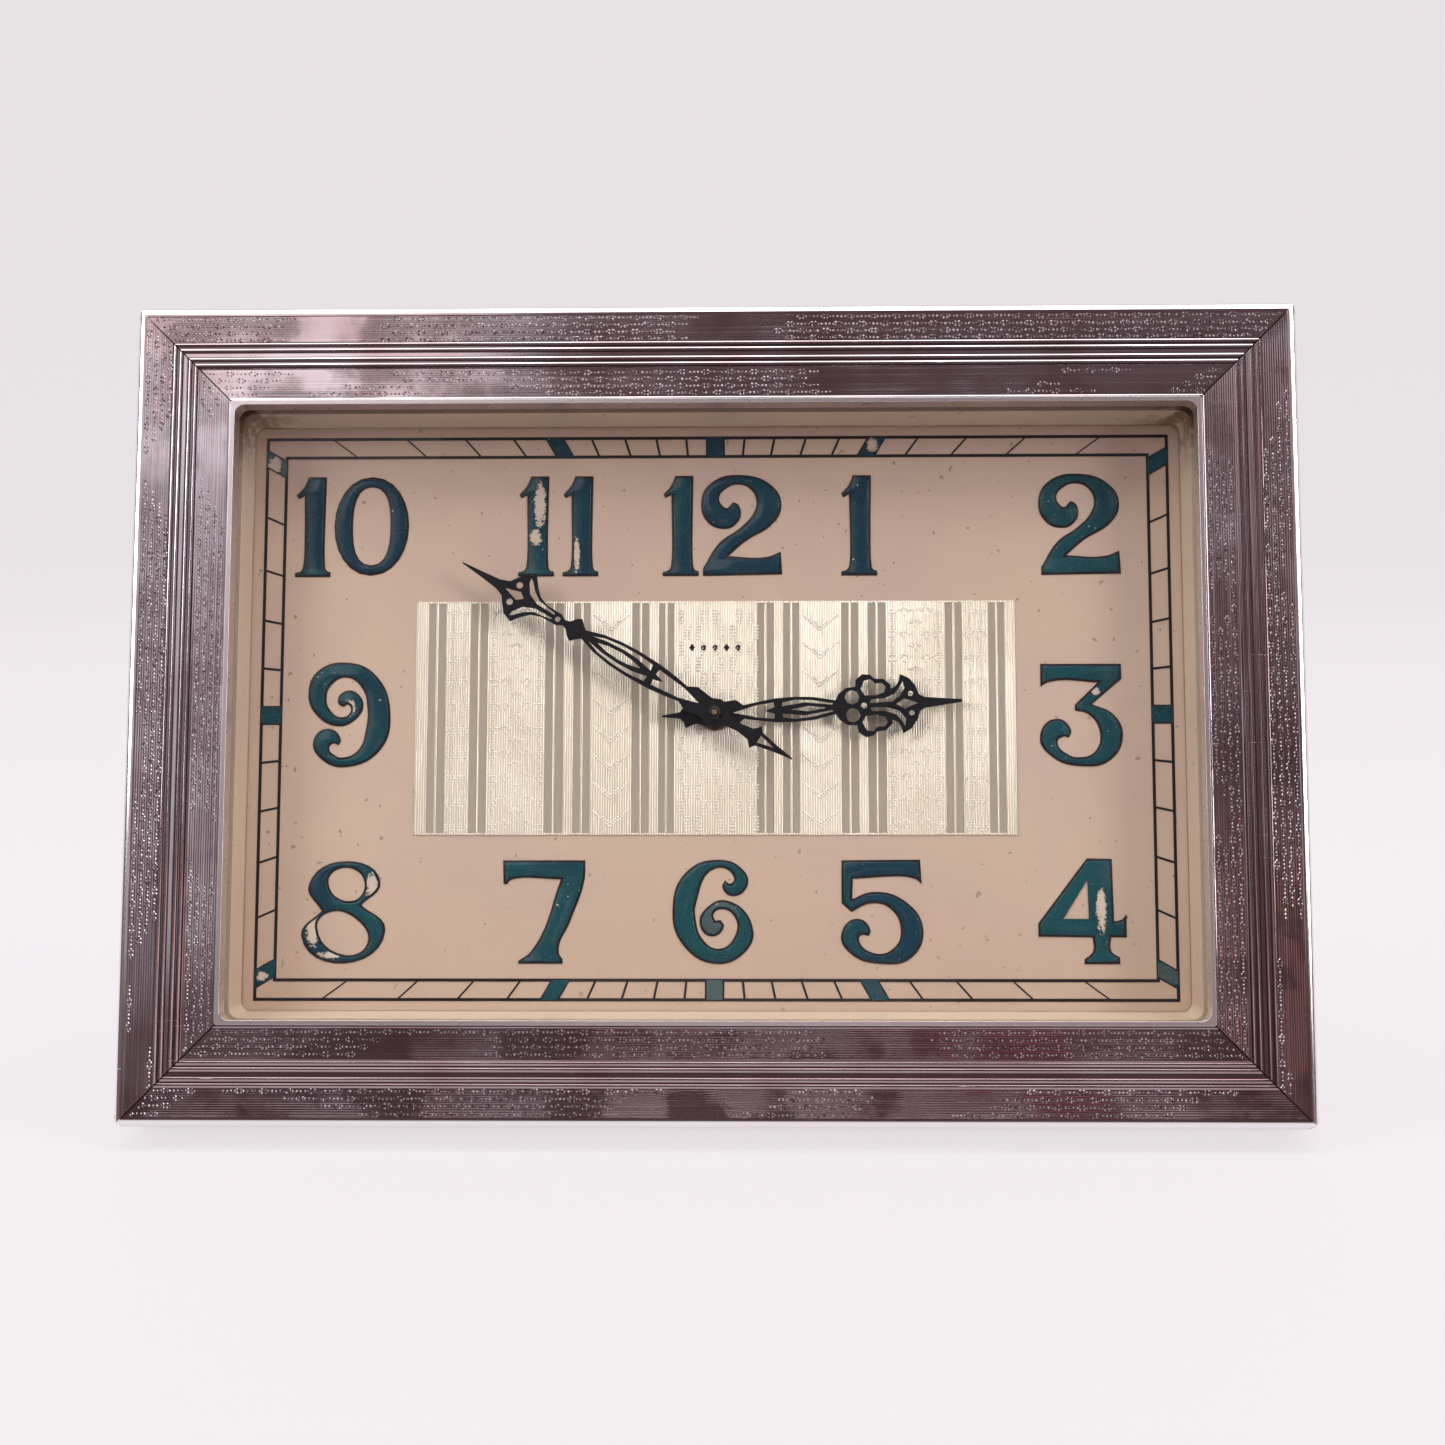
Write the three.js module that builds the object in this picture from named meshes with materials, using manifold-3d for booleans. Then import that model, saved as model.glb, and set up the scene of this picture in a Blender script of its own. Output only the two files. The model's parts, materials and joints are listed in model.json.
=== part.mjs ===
// Art Deco strut clock: an engine-turned silver face frame on a mitred wooden case, held up at the
// back by a folding easel strut, with an eight-day lever movement behind a rectangular dial.
// Millimetres, +Z up, origin in the middle under the standing clock, dial facing -Y.
// The clock is laid out upright (x right, y back, z up, origin in the middle of the face at the
// frame's outer edge) inside a group that leans back.
import * as THREE from 'three';
import { mergeVertices } from 'three/addons/utils/BufferGeometryUtils.js';
import Module from 'manifold-3d';

// ---- driving dimensions ----
const WIDTH = 180; // silver frame, outside
const HEIGHT = 126.2;
const LEAN = THREE.MathUtils.degToRad(12); // of the face from the vertical
const STRUT_OPEN = THREE.MathUtils.degToRad(24.5); // strut to case back
const STAND = 65.4; // height of the middle of the face above the table, with the clock leaning

const RAIL = 15.1; // width of a silver strip, outer edge to the sight bezel
const SHEET = 0.8; // silver
const SIGHT_RISE = 0.86; // how far the face stands proud at the sight
const RETURN_DEPTH = 12.8; // silver sides, face to back edge
const CORE_BACK = 14.9; // wooden case strips end
const CORE_SIGHT = 14.9; // strip width, so the case opening is 150.2 by 96.4
const BOARD = [15.1, 19.0]; // back board, front and rear faces
const MITRE_GAP = 0.05; // each side of a mitre
const CLEAR = 0.3; // between pieces laid against each other

const GLASS = [2.4, 3.9];
const SURROUND = [4.0, 8.9]; // sloping flange between glass and dial
const DIAL = [9.0, 9.8];
const DIAL_CENTRE_HOLE = 2.5;
const HOUR_HAND = [7.2, 7.65];
const MINUTE_HAND = [5.9, 6.35];
const HOUR_ANGLE = THREE.MathUtils.degToRad(87); // ten to three, clockwise from twelve
const MINUTE_ANGLE = THREE.MathUtils.degToRad(301);

const PLATE_RADIUS = 22.4; // movement plates
const FRONT_PLATE = [13.2, 14.6];
const BACK_PLATE = [23.0, 24.4];
const CAP_RADIUS = 24.6;
const CAP_FLANGE = 29.4;
const CAP_BACK = 31.8;
const CAP_WALL = 0.8;
const CAP_SCREW_CIRCLE = 27.3;
const BOARD_HOLE = 23.4;

const PIN = { y: 21.2, z: 46, radius: 0.7, bore: 0.85, knuckle: 1.7, half: 12 }; // strut hinge
const STRUT_HALF = 2; // half thickness
const STRUT_HOLE = 32; // round hole that clears the movement cap
const FOOT_PAD = 1.4; // felt thickness
const PAD_LENGTH = 34;

// Front and rear faces of the movement's pieces.
const DEPTH = {
  cannonPipe: [5.85, 12.1], cannonLeaves: [12, 12.9],
  hourPipe: [7, 11.2], hourTeeth: [11, 11.5],
  minuteTeeth: [12.1, 12.6], minuteLeaves: [10.8, 12.2], minuteStud: [10.9, 13.4],
  setLeaves: [12, 12.8], setArbor: [11.6, 34.2], setKnob: [33, 35.8],
  barrelWall: [15.7, 20.4], barrelTeeth: [20.3, 20.9], barrelCover: [15.9, 16.3], mainspring: [16.7, 20],
  ratchet: [24.7, 25.5], clickSpring: [24.6, 25.2],
  intermediateTeeth: [14.9, 15.35], intermediateLeaves: [20, 21.1], intermediateArbor: [14.75, 22.85],
  centreTeeth: [21.4, 21.85], centreLeaves: [14.8, 15.5],
  thirdTeeth: [17.4, 17.8], thirdLeaves: [21.1, 22.2],
  fourthTeeth: [19.6, 20], fourthLeaves: [17.1, 18.1],
  escapeTeeth: [16.2, 16.6], escapeLeaves: [19.3, 20.3],
  anchor: [15.9, 16.3], roller: [15.2, 15.6], balanceRim: [26.4, 27.2], balanceStaff: [15.2, 28.9],
  hairspring: [27.5, 27.9], cockArm: [28.2, 29.2], regulator: [29.4, 29.8],
};
const KEY_BOSS = { front: 32.2, back: 38, bore: 1.4, radius: 2.9, pivot: 34.8, arborEnd: 36 };

// Movement wheels: positions are x, z of each arbor seen from the front.
const TAU = 2 * Math.PI;
const polar = (radius, degrees, from = [0, 0]) => [
  from[0] + radius * Math.cos(THREE.MathUtils.degToRad(degrees)),
  from[1] + radius * Math.sin(THREE.MathUtils.degToRad(degrees)),
];
const meshing = (a, b, module) => ((a + b) * module) / 2; // centre distance of a gear pair
const TEETH = {
  barrel: 84, intermediatePinion: 14, intermediate: 60, centrePinion: 12, centre: 64, thirdPinion: 8,
  third: 60, fourthPinion: 8, fourth: 56, escapePinion: 7, escape: 15,
  cannon: 12, minuteWheel: 36, minutePinion: 10, hourWheel: 40, setPinion: 10, ratchet: 30,
};
const MODULE = { barrel: 0.24, intermediate: 0.24, centre: 0.22, third: 0.2, fourth: 0.18, setting: 0.26 };
const HOUR_MODULE = meshing(TEETH.cannon, TEETH.minuteWheel, MODULE.setting) * 2
  / (TEETH.minutePinion + TEETH.hourWheel);
const CENTRE = [0, 0];
const BARREL_AT = polar(11.5, 225);
const INTERMEDIATE_AT = polar(meshing(TEETH.intermediate, TEETH.centrePinion, MODULE.intermediate), 155.2);
const THIRD_AT = polar(meshing(TEETH.centre, TEETH.thirdPinion, MODULE.centre), 20);
const FOURTH_AT = polar(meshing(TEETH.third, TEETH.fourthPinion, MODULE.third), 100, THIRD_AT);
const ESCAPE_AT = polar(meshing(TEETH.fourth, TEETH.escapePinion, MODULE.fourth), 170, FOURTH_AT);
const LEVER_LINE = 160; // escape wheel, pallet fork and balance stand in one line
const PALLET_AT = polar(3.1, LEVER_LINE, ESCAPE_AT);
const BALANCE_AT = polar(4.4, LEVER_LINE, PALLET_AT);
const MINUTE_WHEEL_AT = polar(meshing(TEETH.cannon, TEETH.minuteWheel, MODULE.setting), 300);
const SET_AT = polar(meshing(TEETH.minuteWheel, TEETH.setPinion, MODULE.setting), 340, MINUTE_WHEEL_AT);
const CLICK_AT = polar(7.4, 0, BARREL_AT);
const PILLARS_AT = [78, 172, 288, 352].map((degrees) => polar(20.2, degrees));
const DIAL_FEET_AT = [35, 145, 262].map((degrees) => polar(19.6, degrees));
const COCK_FOOT_AT = polar(8.4, 205, BALANCE_AT);
const CAP_SCREWS_AT = [90, 210, 330].map((degrees) => polar(CAP_SCREW_CIRCLE, degrees));

// ---- materials ----
const finish = (color, roughness, metalness = 0) =>
  new THREE.MeshStandardMaterial({ color, roughness, metalness });
const SILVER = finish(0xb9b4b8, 0.25, 1);
const CHAMPAGNE = finish(0xd3bfb1, 0.5, 0.3);
const WOOD = finish(0x5a3320, 0.45);
const BRASS = finish(0xc09a52, 0.35, 1);
const STEEL = finish(0x9a9ca0, 0.3, 1);
const BLUED = finish(0x0c0c10, 0.35, 0.8);
const GLASS_CLEAR = finish(0xf2f6f5, 0.05);
GLASS_CLEAR.transparent = true;
GLASS_CLEAR.opacity = 0.2;
const FELT = finish(0x2a2622, 0.9);

// ---- solid helpers ----
const wasm = await Module();
wasm.setup();

function toSolid(geometry) {
  const bare = geometry.clone();
  bare.deleteAttribute('normal');
  bare.deleteAttribute('uv');
  const merged = mergeVertices(bare, 1e-5);
  return new wasm.Manifold(new wasm.Mesh({
    numProp: 3,
    vertProperties: merged.attributes.position.array,
    triVerts: merged.index.array,
  }));
}

function toGeometry(solid) {
  const { vertProperties, triVerts } = solid.getMesh();
  const geometry = new THREE.BufferGeometry();
  geometry.setAttribute('position', new THREE.BufferAttribute(vertProperties, 3));
  geometry.setIndex(new THREE.BufferAttribute(triVerts, 1));
  geometry.computeVertexNormals();
  return geometry;
}

const joined = (first, ...rest) =>
  toGeometry(rest.reduce((whole, piece) => whole.add(toSolid(piece)), toSolid(first)));
const cut = (body, ...tools) =>
  toGeometry(tools.reduce((whole, tool) => whole.subtract(toSolid(tool)), toSolid(body)));

// A shape drawn in the face plane (x right, z up), extruded from depth y0 back to y1.
function slab(shape, [y0, y1], curveSegments = 4) {
  const settings = { depth: y1 - y0, bevelEnabled: false, curveSegments };
  return new THREE.ExtrudeGeometry(shape, settings).rotateX(Math.PI / 2).translate(0, y1, 0);
}

// A shape drawn in the side view (y back, z up), extruded across the clock from x0 to x1.
function across(shape, x0, x1) {
  const turn = new THREE.Matrix4().makeBasis(
    new THREE.Vector3(0, 1, 0), new THREE.Vector3(0, 0, 1), new THREE.Vector3(1, 0, 0));
  return new THREE.ExtrudeGeometry(shape, { depth: x1 - x0, bevelEnabled: false })
    .applyMatrix4(turn).translate(x0, 0, 0);
}

const rod = (radius, [y0, y1], sides = 12, [x, z] = [0, 0]) =>
  new THREE.CylinderGeometry(radius, radius, y1 - y0, sides).translate(x, (y0 + y1) / 2, z);

// A profile of [radius, y] pairs turned about the y axis.
const turned = (profile, segments = 16) =>
  new THREE.LatheGeometry(profile.map(([r, y]) => new THREE.Vector2(r, y)), segments);

const polygon = (points) => new THREE.Shape(points.map(([x, z]) => new THREE.Vector2(x, z)));

function roundedRectangle(halfX, halfZ, radius) {
  const shape = new THREE.Shape();
  shape.absarc(halfX - radius, halfZ - radius, radius, 0, Math.PI / 2);
  shape.absarc(radius - halfX, halfZ - radius, radius, Math.PI / 2, Math.PI);
  shape.absarc(radius - halfX, radius - halfZ, radius, Math.PI, 1.5 * Math.PI);
  shape.absarc(halfX - radius, radius - halfZ, radius, 1.5 * Math.PI, TAU);
  return shape;
}

function disc(radius, ...holes) {
  const shape = new THREE.Shape();
  shape.absarc(0, 0, radius, 0, TAU);
  shape.holes.push(...holes);
  return shape;
}

function roundHole(x, z, radius) {
  const hole = new THREE.Path();
  hole.absarc(x, z, radius, 0, TAU);
  return hole;
}

const clock = new THREE.Group(); // the upright layout
const strutGroup = new THREE.Group();

function add(name, geometry, material, parent = clock, [x, z] = [0, 0]) {
  const mesh = new THREE.Mesh(geometry, material);
  mesh.name = name;
  mesh.position.set(x, 0, z);
  parent.add(mesh);
  return mesh;
}

// ---- case: silver strips, wooden strips and back board ----
// A strip's section (inward distance s, depth y) runs along the top edge and is mitred at both ends.
function mitredStrip(section, length, reach) {
  const strip = new THREE.ExtrudeGeometry(polygon(section), { depth: length, bevelEnabled: false });
  const at = strip.attributes.position;
  for (let i = 0; i < at.count; i += 1) {
    const inset = at.getX(i) + MITRE_GAP;
    at.setZ(i, at.getZ(i) < length / 2 ? inset : length - inset);
  }
  return strip.rotateY(Math.PI / 2).translate(-length / 2, 0, reach);
}

const SIDES = [
  { side: 'top', length: WIDTH, reach: HEIGHT / 2, turn: 0 },
  { side: 'right', length: HEIGHT, reach: WIDTH / 2, turn: 1 },
  { side: 'bottom', length: WIDTH, reach: HEIGHT / 2, turn: 2 },
  { side: 'left', length: HEIGHT, reach: WIDTH / 2, turn: 3 },
];

const EDGE_ROUND = 1.1;
const edgeArc = [0, 30, 60, 90].map((degrees) => {
  const angle = THREE.MathUtils.degToRad(degrees);
  return [EDGE_ROUND * (1 - Math.cos(angle)), EDGE_ROUND * (1 - Math.sin(angle))];
});
const silverSection = [
  [0, RETURN_DEPTH],
  ...edgeArc,
  [RAIL, -SIGHT_RISE],
  [RAIL, SHEET - SIGHT_RISE],
  [EDGE_ROUND, SHEET],
  [SHEET, EDGE_ROUND],
  [SHEET, RETURN_DEPTH],
];

const CORE_INSET = SHEET + CLEAR;
const coreSection = [
  [CORE_INSET, CORE_INSET + 0.2],
  [CORE_SIGHT, CLEAR],
  [CORE_SIGHT, CORE_BACK],
  [CLEAR, CORE_BACK],
  [CLEAR, RETURN_DEPTH + 0.2],
  [CORE_INSET, RETURN_DEPTH + 0.2],
];

const SCREW = {
  head: 2.6, shank: 1.2, x: 70, z: HEIGHT / 2 - 7.5, tip: 9, neck: 17.6, clearance: 0.15, sunk: 0.05,
};
const screwHole = (x, z) =>
  rod(SCREW.shank + SCREW.clearance, [SCREW.tip - 1, BOARD[1] + 1], 8, [x, z]);

for (const { side, length, reach, turn } of SIDES) {
  const rail = add(`rail_${side}`, mitredStrip(silverSection, length, reach), SILVER);
  rail.rotation.y = (turn * Math.PI) / 2;
  const strip = mitredStrip(coreSection, length, reach);
  const bored = turn % 2
    ? strip
    : cut(strip, screwHole(-SCREW.x, SCREW.z), screwHole(SCREW.x, SCREW.z));
  const core = add(`case_strip_${side}`, bored, WOOD);
  core.rotation.y = (turn * Math.PI) / 2;
}

// Height of the table, in the upright layout, at depth y.
const tableAt = (y) => (y * Math.sin(LEAN) - STAND) / Math.cos(LEAN);

function backBoard() {
  const top = HEIGHT / 2 - CLEAR;
  const side = polygon([
    [BOARD[0], tableAt(BOARD[0])], [BOARD[1], tableAt(BOARD[1])], [BOARD[1], top], [BOARD[0], top]]);
  const halfWidth = WIDTH / 2 - CLEAR;
  const [seat, surface] = [SCREW.neck - 0.1, BOARD[1] + 0.1];
  const countersink = turned(
    [[0, seat], [SCREW.shank, seat], [SCREW.head + CLEAR, surface], [0, surface]], 12);
  const holes = [-1, 1].flatMap((sx) => [-1, 1].flatMap((sz) => [
    screwHole(sx * SCREW.x, sz * SCREW.z),
    countersink.clone().translate(sx * SCREW.x, 0, sz * SCREW.z)]));
  const pilots = CAP_SCREWS_AT.map((at) => rod(0.85, [BOARD[0] + 0.6, BOARD[1] + 1], 8, at));
  const movementHole = rod(BOARD_HOLE, [BOARD[0] - 5, BOARD[1] + 5], 32);
  return cut(across(side, -halfWidth, halfWidth), movementHole, ...holes, ...pilots);
}

add('back_board', backBoard(), WOOD);

function backScrew() {
  const top = BOARD[1] - SCREW.sunk;
  const profile = [[0, SCREW.tip], [SCREW.shank, SCREW.tip + 1.5], [SCREW.shank, SCREW.neck],
    [SCREW.head, top], [0, top]];
  return cut(turned(profile, 12), new THREE.BoxGeometry(6, 0.8, 0.7).translate(0, BOARD[1], 0));
}

[[-1, 1], [1, 1], [1, -1], [-1, -1]].forEach(([sx, sz], i) =>
  add(`back_screw_${i + 1}`, backScrew(), BRASS, clock, [sx * SCREW.x, sz * SCREW.z]));

// ---- glass, bezel, flange and dial ----
const BEZEL_OUT = [WIDTH / 2 - RAIL - 0.1, HEIGHT / 2 - RAIL - 0.1];
const SIGHT = [74.1, 47.2]; // half opening
const BEZEL_FRONT = -1.3;
const SIGHT_CORNER = 1.6;
const FLANGE_OPENING = { front: [73.9, 47.0], back: [72.9, 45.8] }; // half opening at glass and dial

function sightBezel() {
  const shape = roundedRectangle(...BEZEL_OUT, 0.5);
  shape.holes.push(roundedRectangle(...SIGHT, SIGHT_CORNER));
  return slab(shape, [BEZEL_FRONT, GLASS[0] - 0.1]);
}
add('sight_bezel', sightBezel(), SILVER);
add('glass', slab(roundedRectangle(BEZEL_OUT[0], BEZEL_OUT[1], 0.8), GLASS), GLASS_CLEAR);

// The flange's opening narrows from the glass down to the dial.
function dialSurround() {
  const { front, back } = FLANGE_OPENING;
  const funnel = slab(roundedRectangle(...back, SIGHT_CORNER), [SURROUND[0] - 0.1, SURROUND[1] + 0.1]);
  const at = funnel.attributes.position;
  for (let i = 0; i < at.count; i += 1) {
    if (at.getY(i) < SURROUND[0]) {
      at.setX(i, (at.getX(i) * front[0]) / back[0]);
      at.setZ(i, (at.getZ(i) * front[1]) / back[1]);
    }
  }
  return cut(slab(roundedRectangle(BEZEL_OUT[0], BEZEL_OUT[1], 0.8), SURROUND), funnel);
}
add('dial_surround', dialSurround(), CHAMPAGNE);

const dialShape = roundedRectangle(BEZEL_OUT[0], BEZEL_OUT[1], 0.8);
dialShape.holes.push(roundHole(0, 0, DIAL_CENTRE_HOLE));
add('dial_plate', joined(slab(dialShape, DIAL),
  ...DIAL_FEET_AT.map((at) => rod(1.2, [DIAL[1] - 0.2, FRONT_PLATE[0] - 0.05], 8, at))), CHAMPAGNE);

// ---- hands ----
// Half outlines and openings are [along, across] pairs from the hub; the other half mirrors them.
const mirror = (points) => points.map(([along, side]) => [along, -side]);
const bothSides = (half) => [...half, ...mirror(half).reverse()];
const handPath = (points, Kind) =>
  new Kind(points.map(([along, side]) => new THREE.Vector2(side, along)));

function hand({ outline, centred, paired, holes, bore }, span) {
  const shape = handPath(bothSides(outline), THREE.Shape);
  shape.holes.push(
    ...centred.map((half) => handPath(bothSides(half), THREE.Path)),
    ...paired.flatMap((points) => [handPath(points, THREE.Path), handPath(mirror(points), THREE.Path)]),
    ...holes.flatMap(([along, side, radius]) =>
      [...new Set([side, -side])].map((x) => roundHole(x, along, radius))),
    roundHole(0, 0, bore));
  return slab(shape, span, 4);
}

const minuteHand = {
  bore: 1.12,
  outline: [[-14, 0.1], [-10.9, 0.55], [-8, 1.15], [-7.4, 1.95], [-6.5, 0.95], [-4.6, 0.65], [-2.2, 0.9],
    [-1.5, 1.75], [0, 2.3], [1.5, 1.75], [4.2, 2.1], [5.7, 1.35], [8, 1.75], [11, 2.1], [15, 2.2],
    [18, 2.05], [21, 1.6], [23.8, 0.75], [24.4, 1.2], [25.2, 2], [26, 1.5], [26.6, 0.7], [27.4, 0.45],
    [28.3, 0.95], [31, 1], [32.6, 1.6], [33.8, 2.8], [34.8, 4.1], [36.3, 3.5], [37.3, 2.3], [38, 1.3],
    [39.5, 0.75], [42.5, 0.4], [46, 0.08]],
  centred: [
    [[-10.6, 0.02], [-8, 0.65]],
    [[2.9, 0.05], [6, 0.9], [10.8, 1.35], [10.9, 0.45], [9.4, 0.05]],
    [[13.5, 0.05], [15.5, 0.5], [17.3, 0.62], [19.5, 0.45], [21.2, 0.05]],
    [[34.8, 0.05], [35.7, 0.75], [38, 0.05]]],
  paired: [
    [[11.9, 0.5], [14.5, 1.05], [17, 1.15], [20, 0.95], [22.7, 0.45], [20.5, 1.25], [17.5, 1.65],
      [14.5, 1.7], [12, 1.45]],
    [[29.3, 0.3], [32.5, 0.35], [34.3, 1.15], [35.3, 2.6], [35.4, 3.4], [34.8, 3], [33.8, 1.9],
      [32.4, 1], [29.5, 0.6]]],
  holes: [[28.5, 0, 0.45], [36.4, 1.5, 0.55]],
};

const hourHand = {
  bore: 2,
  outline: [[-8.2, 0.12], [-5.4, 0.5], [-4.9, 1.1], [-4.6, 2], [-3, 1.4], [-1.6, 1.75], [0, 2.4], [1.6, 1.75],
    [3.4, 1.95], [4.5, 1.05], [7, 1.5], [9.5, 1.85], [12.5, 1.95], [15.5, 1.75], [18.8, 1.05], [19.3, 2],
    [20.5, 2.9], [22, 3], [22.1, 4.1], [23.2, 4.9], [24.4, 4.75], [25.1, 4.1], [26.4, 4], [27.4, 3.1],
    [27.5, 2.4], [28.3, 2.8], [28.8, 3.6], [29, 4.65], [30.4, 3.9], [31.3, 2.7], [31.8, 1.3],
    [32.6, 0.85], [38.4, 0.2]],
  centred: [
    [[2.9, 0.05], [6.5, 0.95], [9.2, 1.3], [9.3, 0.5], [8, 0.05]],
    [[12, 0.05], [14.6, 0.45], [17.2, 0.05]],
    [[28.2, 0.05], [29.5, 0.8], [31.5, 0.05]]],
  paired: [
    [[10.5, 0.55], [14, 1], [18.3, 0.4], [18.4, 0.65], [15, 1.35], [12.5, 1.5], [10.6, 1.2]],
    [[22.8, 2.6], [23.4, 1.6], [25, 1.5], [26.4, 1.9], [26.7, 2.8], [26.2, 3.4], [25.1, 3.4],
      [24.4, 4.1], [23.4, 3.9]],
    [[24.1, 0.35], [27.6, 0.4], [28.8, 1.2], [29.6, 2.4], [29.4, 3.5], [28.9, 2.7], [28, 1.6],
      [26.4, 1], [24.4, 0.95]]],
  holes: [[21.4, 1.4, 1.15], [23.2, 0, 0.5], [30.5, 1.5, 0.45]],
};

add('minute_hand', hand(minuteHand, MINUTE_HAND), BLUED).rotation.y = MINUTE_ANGLE;
add('hour_hand', hand(hourHand, HOUR_HAND), BLUED).rotation.y = HOUR_ANGLE;
add('hand_collet', turned([[0.55, 5.2], [0.9, 5.35], [1.25, 5.8], [0.55, 5.8], [0.55, 5.2]], 12), BLUED);

// ---- gears ----
// Wheel teeth are a gullet point and two tip corners; pinion leaves have two root corners as well.
function gearShape(teeth, module, phase = 0, leaf = false) {
  const step = TAU / teeth;
  const pitch = (teeth * module) / 2;
  const root = pitch - (leaf ? 1.2 : 1.35) * module;
  const tip = pitch + (leaf ? 0.6 : 0.8) * module;
  const corners = leaf
    ? [[root, -0.17], [tip, -0.07], [tip, 0.07], [root, 0.17]]
    : [[root, -0.5], [tip, -0.09], [tip, 0.09]];
  return polygon(Array.from({ length: teeth }, (_, i) => corners.map(([radius, share]) => [
    radius * Math.cos(phase + (i + share) * step),
    radius * Math.sin(phase + (i + share) * step),
  ])).flat());
}

// The four windows between a wheel's arms.
function crossings(inner, outer, arm, count = 4) {
  return Array.from({ length: count }, (_, k) => {
    const from = (k * TAU) / count;
    const to = from + TAU / count;
    const edge = (radius, angle, sign) => angle + sign * Math.asin(arm / 2 / radius);
    const angles = [0, 0.33, 0.67, 1];
    const arc = (radius) => angles.map((share) => {
      const angle = edge(radius, from, 1) * (1 - share) + edge(radius, to, -1) * share;
      return new THREE.Vector2(radius * Math.cos(angle), radius * Math.sin(angle));
    });
    return new THREE.Path([...arc(outer), arc(inner)[3], arc(inner)[0]]);
  });
}

function wheelShape(teeth, module, phase = 0) {
  const shape = gearShape(teeth, module, phase);
  const rim = (teeth * module) / 2 - 2.4 * module;
  shape.holes.push(...crossings(1.35, rim, 0.8));
  return shape;
}

// Phase of a gear that meshes with another of known phase: a tooth of one stands in a gap of the other.
function phaseOfMate(from, to, teeth, phase, mateTeeth) {
  const toward = Math.atan2(to[1] - from[1], to[0] - from[0]);
  const share = ((toward - phase) * teeth) / TAU;
  return toward + Math.PI - (TAU / mateTeeth) * (0.5 - share);
}

// A plain arbor with a thin pivot at each end, seated in the plates.
const PIVOT = 0.3;
function arbor(radius, [y0, y1] = [FRONT_PLATE[1] + 0.15, BACK_PLATE[0] - 0.15]) {
  return turned([[0, y0 - 1], [PIVOT, y0 - 1], [PIVOT, y0], [radius, y0], [radius, y1], [PIVOT, y1],
    [PIVOT, y1 + 1], [0, y1 + 1]], 8);
}

// Going train. Each wheel starts with a tooth along +x; each pinion is set to its driving wheel.
const leaves = (teeth, module, phase, span) => slab(gearShape(teeth, module, phase, true), span);

function barrel() {
  const teeth = gearShape(TEETH.barrel, MODULE.barrel);
  teeth.holes.push(roundHole(0, 0, 1.45));
  const wall = disc(8.9, roundHole(0, 0, 8.3));
  return joined(slab(teeth, DEPTH.barrelTeeth), slab(wall, DEPTH.barrelWall, 16));
}
add('barrel', barrel(), BRASS, clock, BARREL_AT);
add('barrel_cover', slab(disc(8.2, roundHole(0, 0, 1.45)), DEPTH.barrelCover, 12), BRASS,
  clock, BARREL_AT);

function spiral(inner, outer, turns, thickness, span, start = 0) {
  const steps = Math.round(turns * 14);
  const edge = (offset) => Array.from({ length: steps + 1 }, (_, i) => {
    const angle = start + (i * turns * TAU) / steps;
    const radius = inner + ((outer - inner) * i) / steps + offset;
    return [radius * Math.cos(angle), radius * Math.sin(angle)];
  });
  return slab(polygon([...edge(0), ...edge(thickness).reverse()]), span);
}
add('mainspring', spiral(2.5, 7.6, 4, 0.35, DEPTH.mainspring), STEEL, clock, BARREL_AT);

// One lathe-turned arbor runs from the front plate through the barrel to the winding key.
add('barrel_arbor', turned([[0, 13.4], [0.6, 13.4], [0.6, 14.8], [1.3, 14.8], [1.3, 16.6], [2.2, 16.6],
  [2.2, 20.1], [1.3, 20.1], [1.3, KEY_BOSS.arborEnd], [0, KEY_BOSS.arborEnd]], 12), STEEL, clock, BARREL_AT);

function ratchetWheel() {
  const step = TAU / TEETH.ratchet;
  const saw = Array.from({ length: TEETH.ratchet }, (_, i) => [
    [4.55 * Math.cos(i * step), 4.55 * Math.sin(i * step)],
    [5.1 * Math.cos((i + 0.12) * step), 5.1 * Math.sin((i + 0.12) * step)],
  ]).flat();
  const shape = polygon(saw);
  shape.holes.push(roundHole(0, 0, 1.38));
  return slab(shape, DEPTH.ratchet);
}
add('ratchet_wheel', ratchetWheel(), STEEL, clock, BARREL_AT);

// The click's beak stands just clear of the ratchet's tooth circle.
const clickShape = new THREE.Shape();
clickShape.absarc(0, 0, 1.3, -0.4 * Math.PI, 0.45 * Math.PI);
clickShape.lineTo(-2.65, 3.55);
clickShape.lineTo(-2.55, 2.7);
clickShape.lineTo(-1.2, 0);
clickShape.holes.push(roundHole(0, 0, 0.55));
add('click', slab(clickShape, DEPTH.ratchet), STEEL, clock, CLICK_AT);
const springShape = polygon([[1.75, -3], [3.2, -3], [3.2, -1.6], [2.3, -1.5], [2.15, 1.2], [1.0, 3.4],
  [0.75, 3.25], [1.8, 1.1], [1.75, -1.5]]);
add('click_spring', slab(springShape, DEPTH.clickSpring), STEEL, clock, CLICK_AT);

const intermediatePhase = phaseOfMate(BARREL_AT, INTERMEDIATE_AT, TEETH.barrel, 0, TEETH.intermediatePinion);
add('intermediate_wheel', joined(
  slab(wheelShape(TEETH.intermediate, MODULE.intermediate), DEPTH.intermediateTeeth),
  leaves(TEETH.intermediatePinion, MODULE.barrel, intermediatePhase, DEPTH.intermediateLeaves),
  arbor(0.8, DEPTH.intermediateArbor)), BRASS, clock, INTERMEDIATE_AT);

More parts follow.
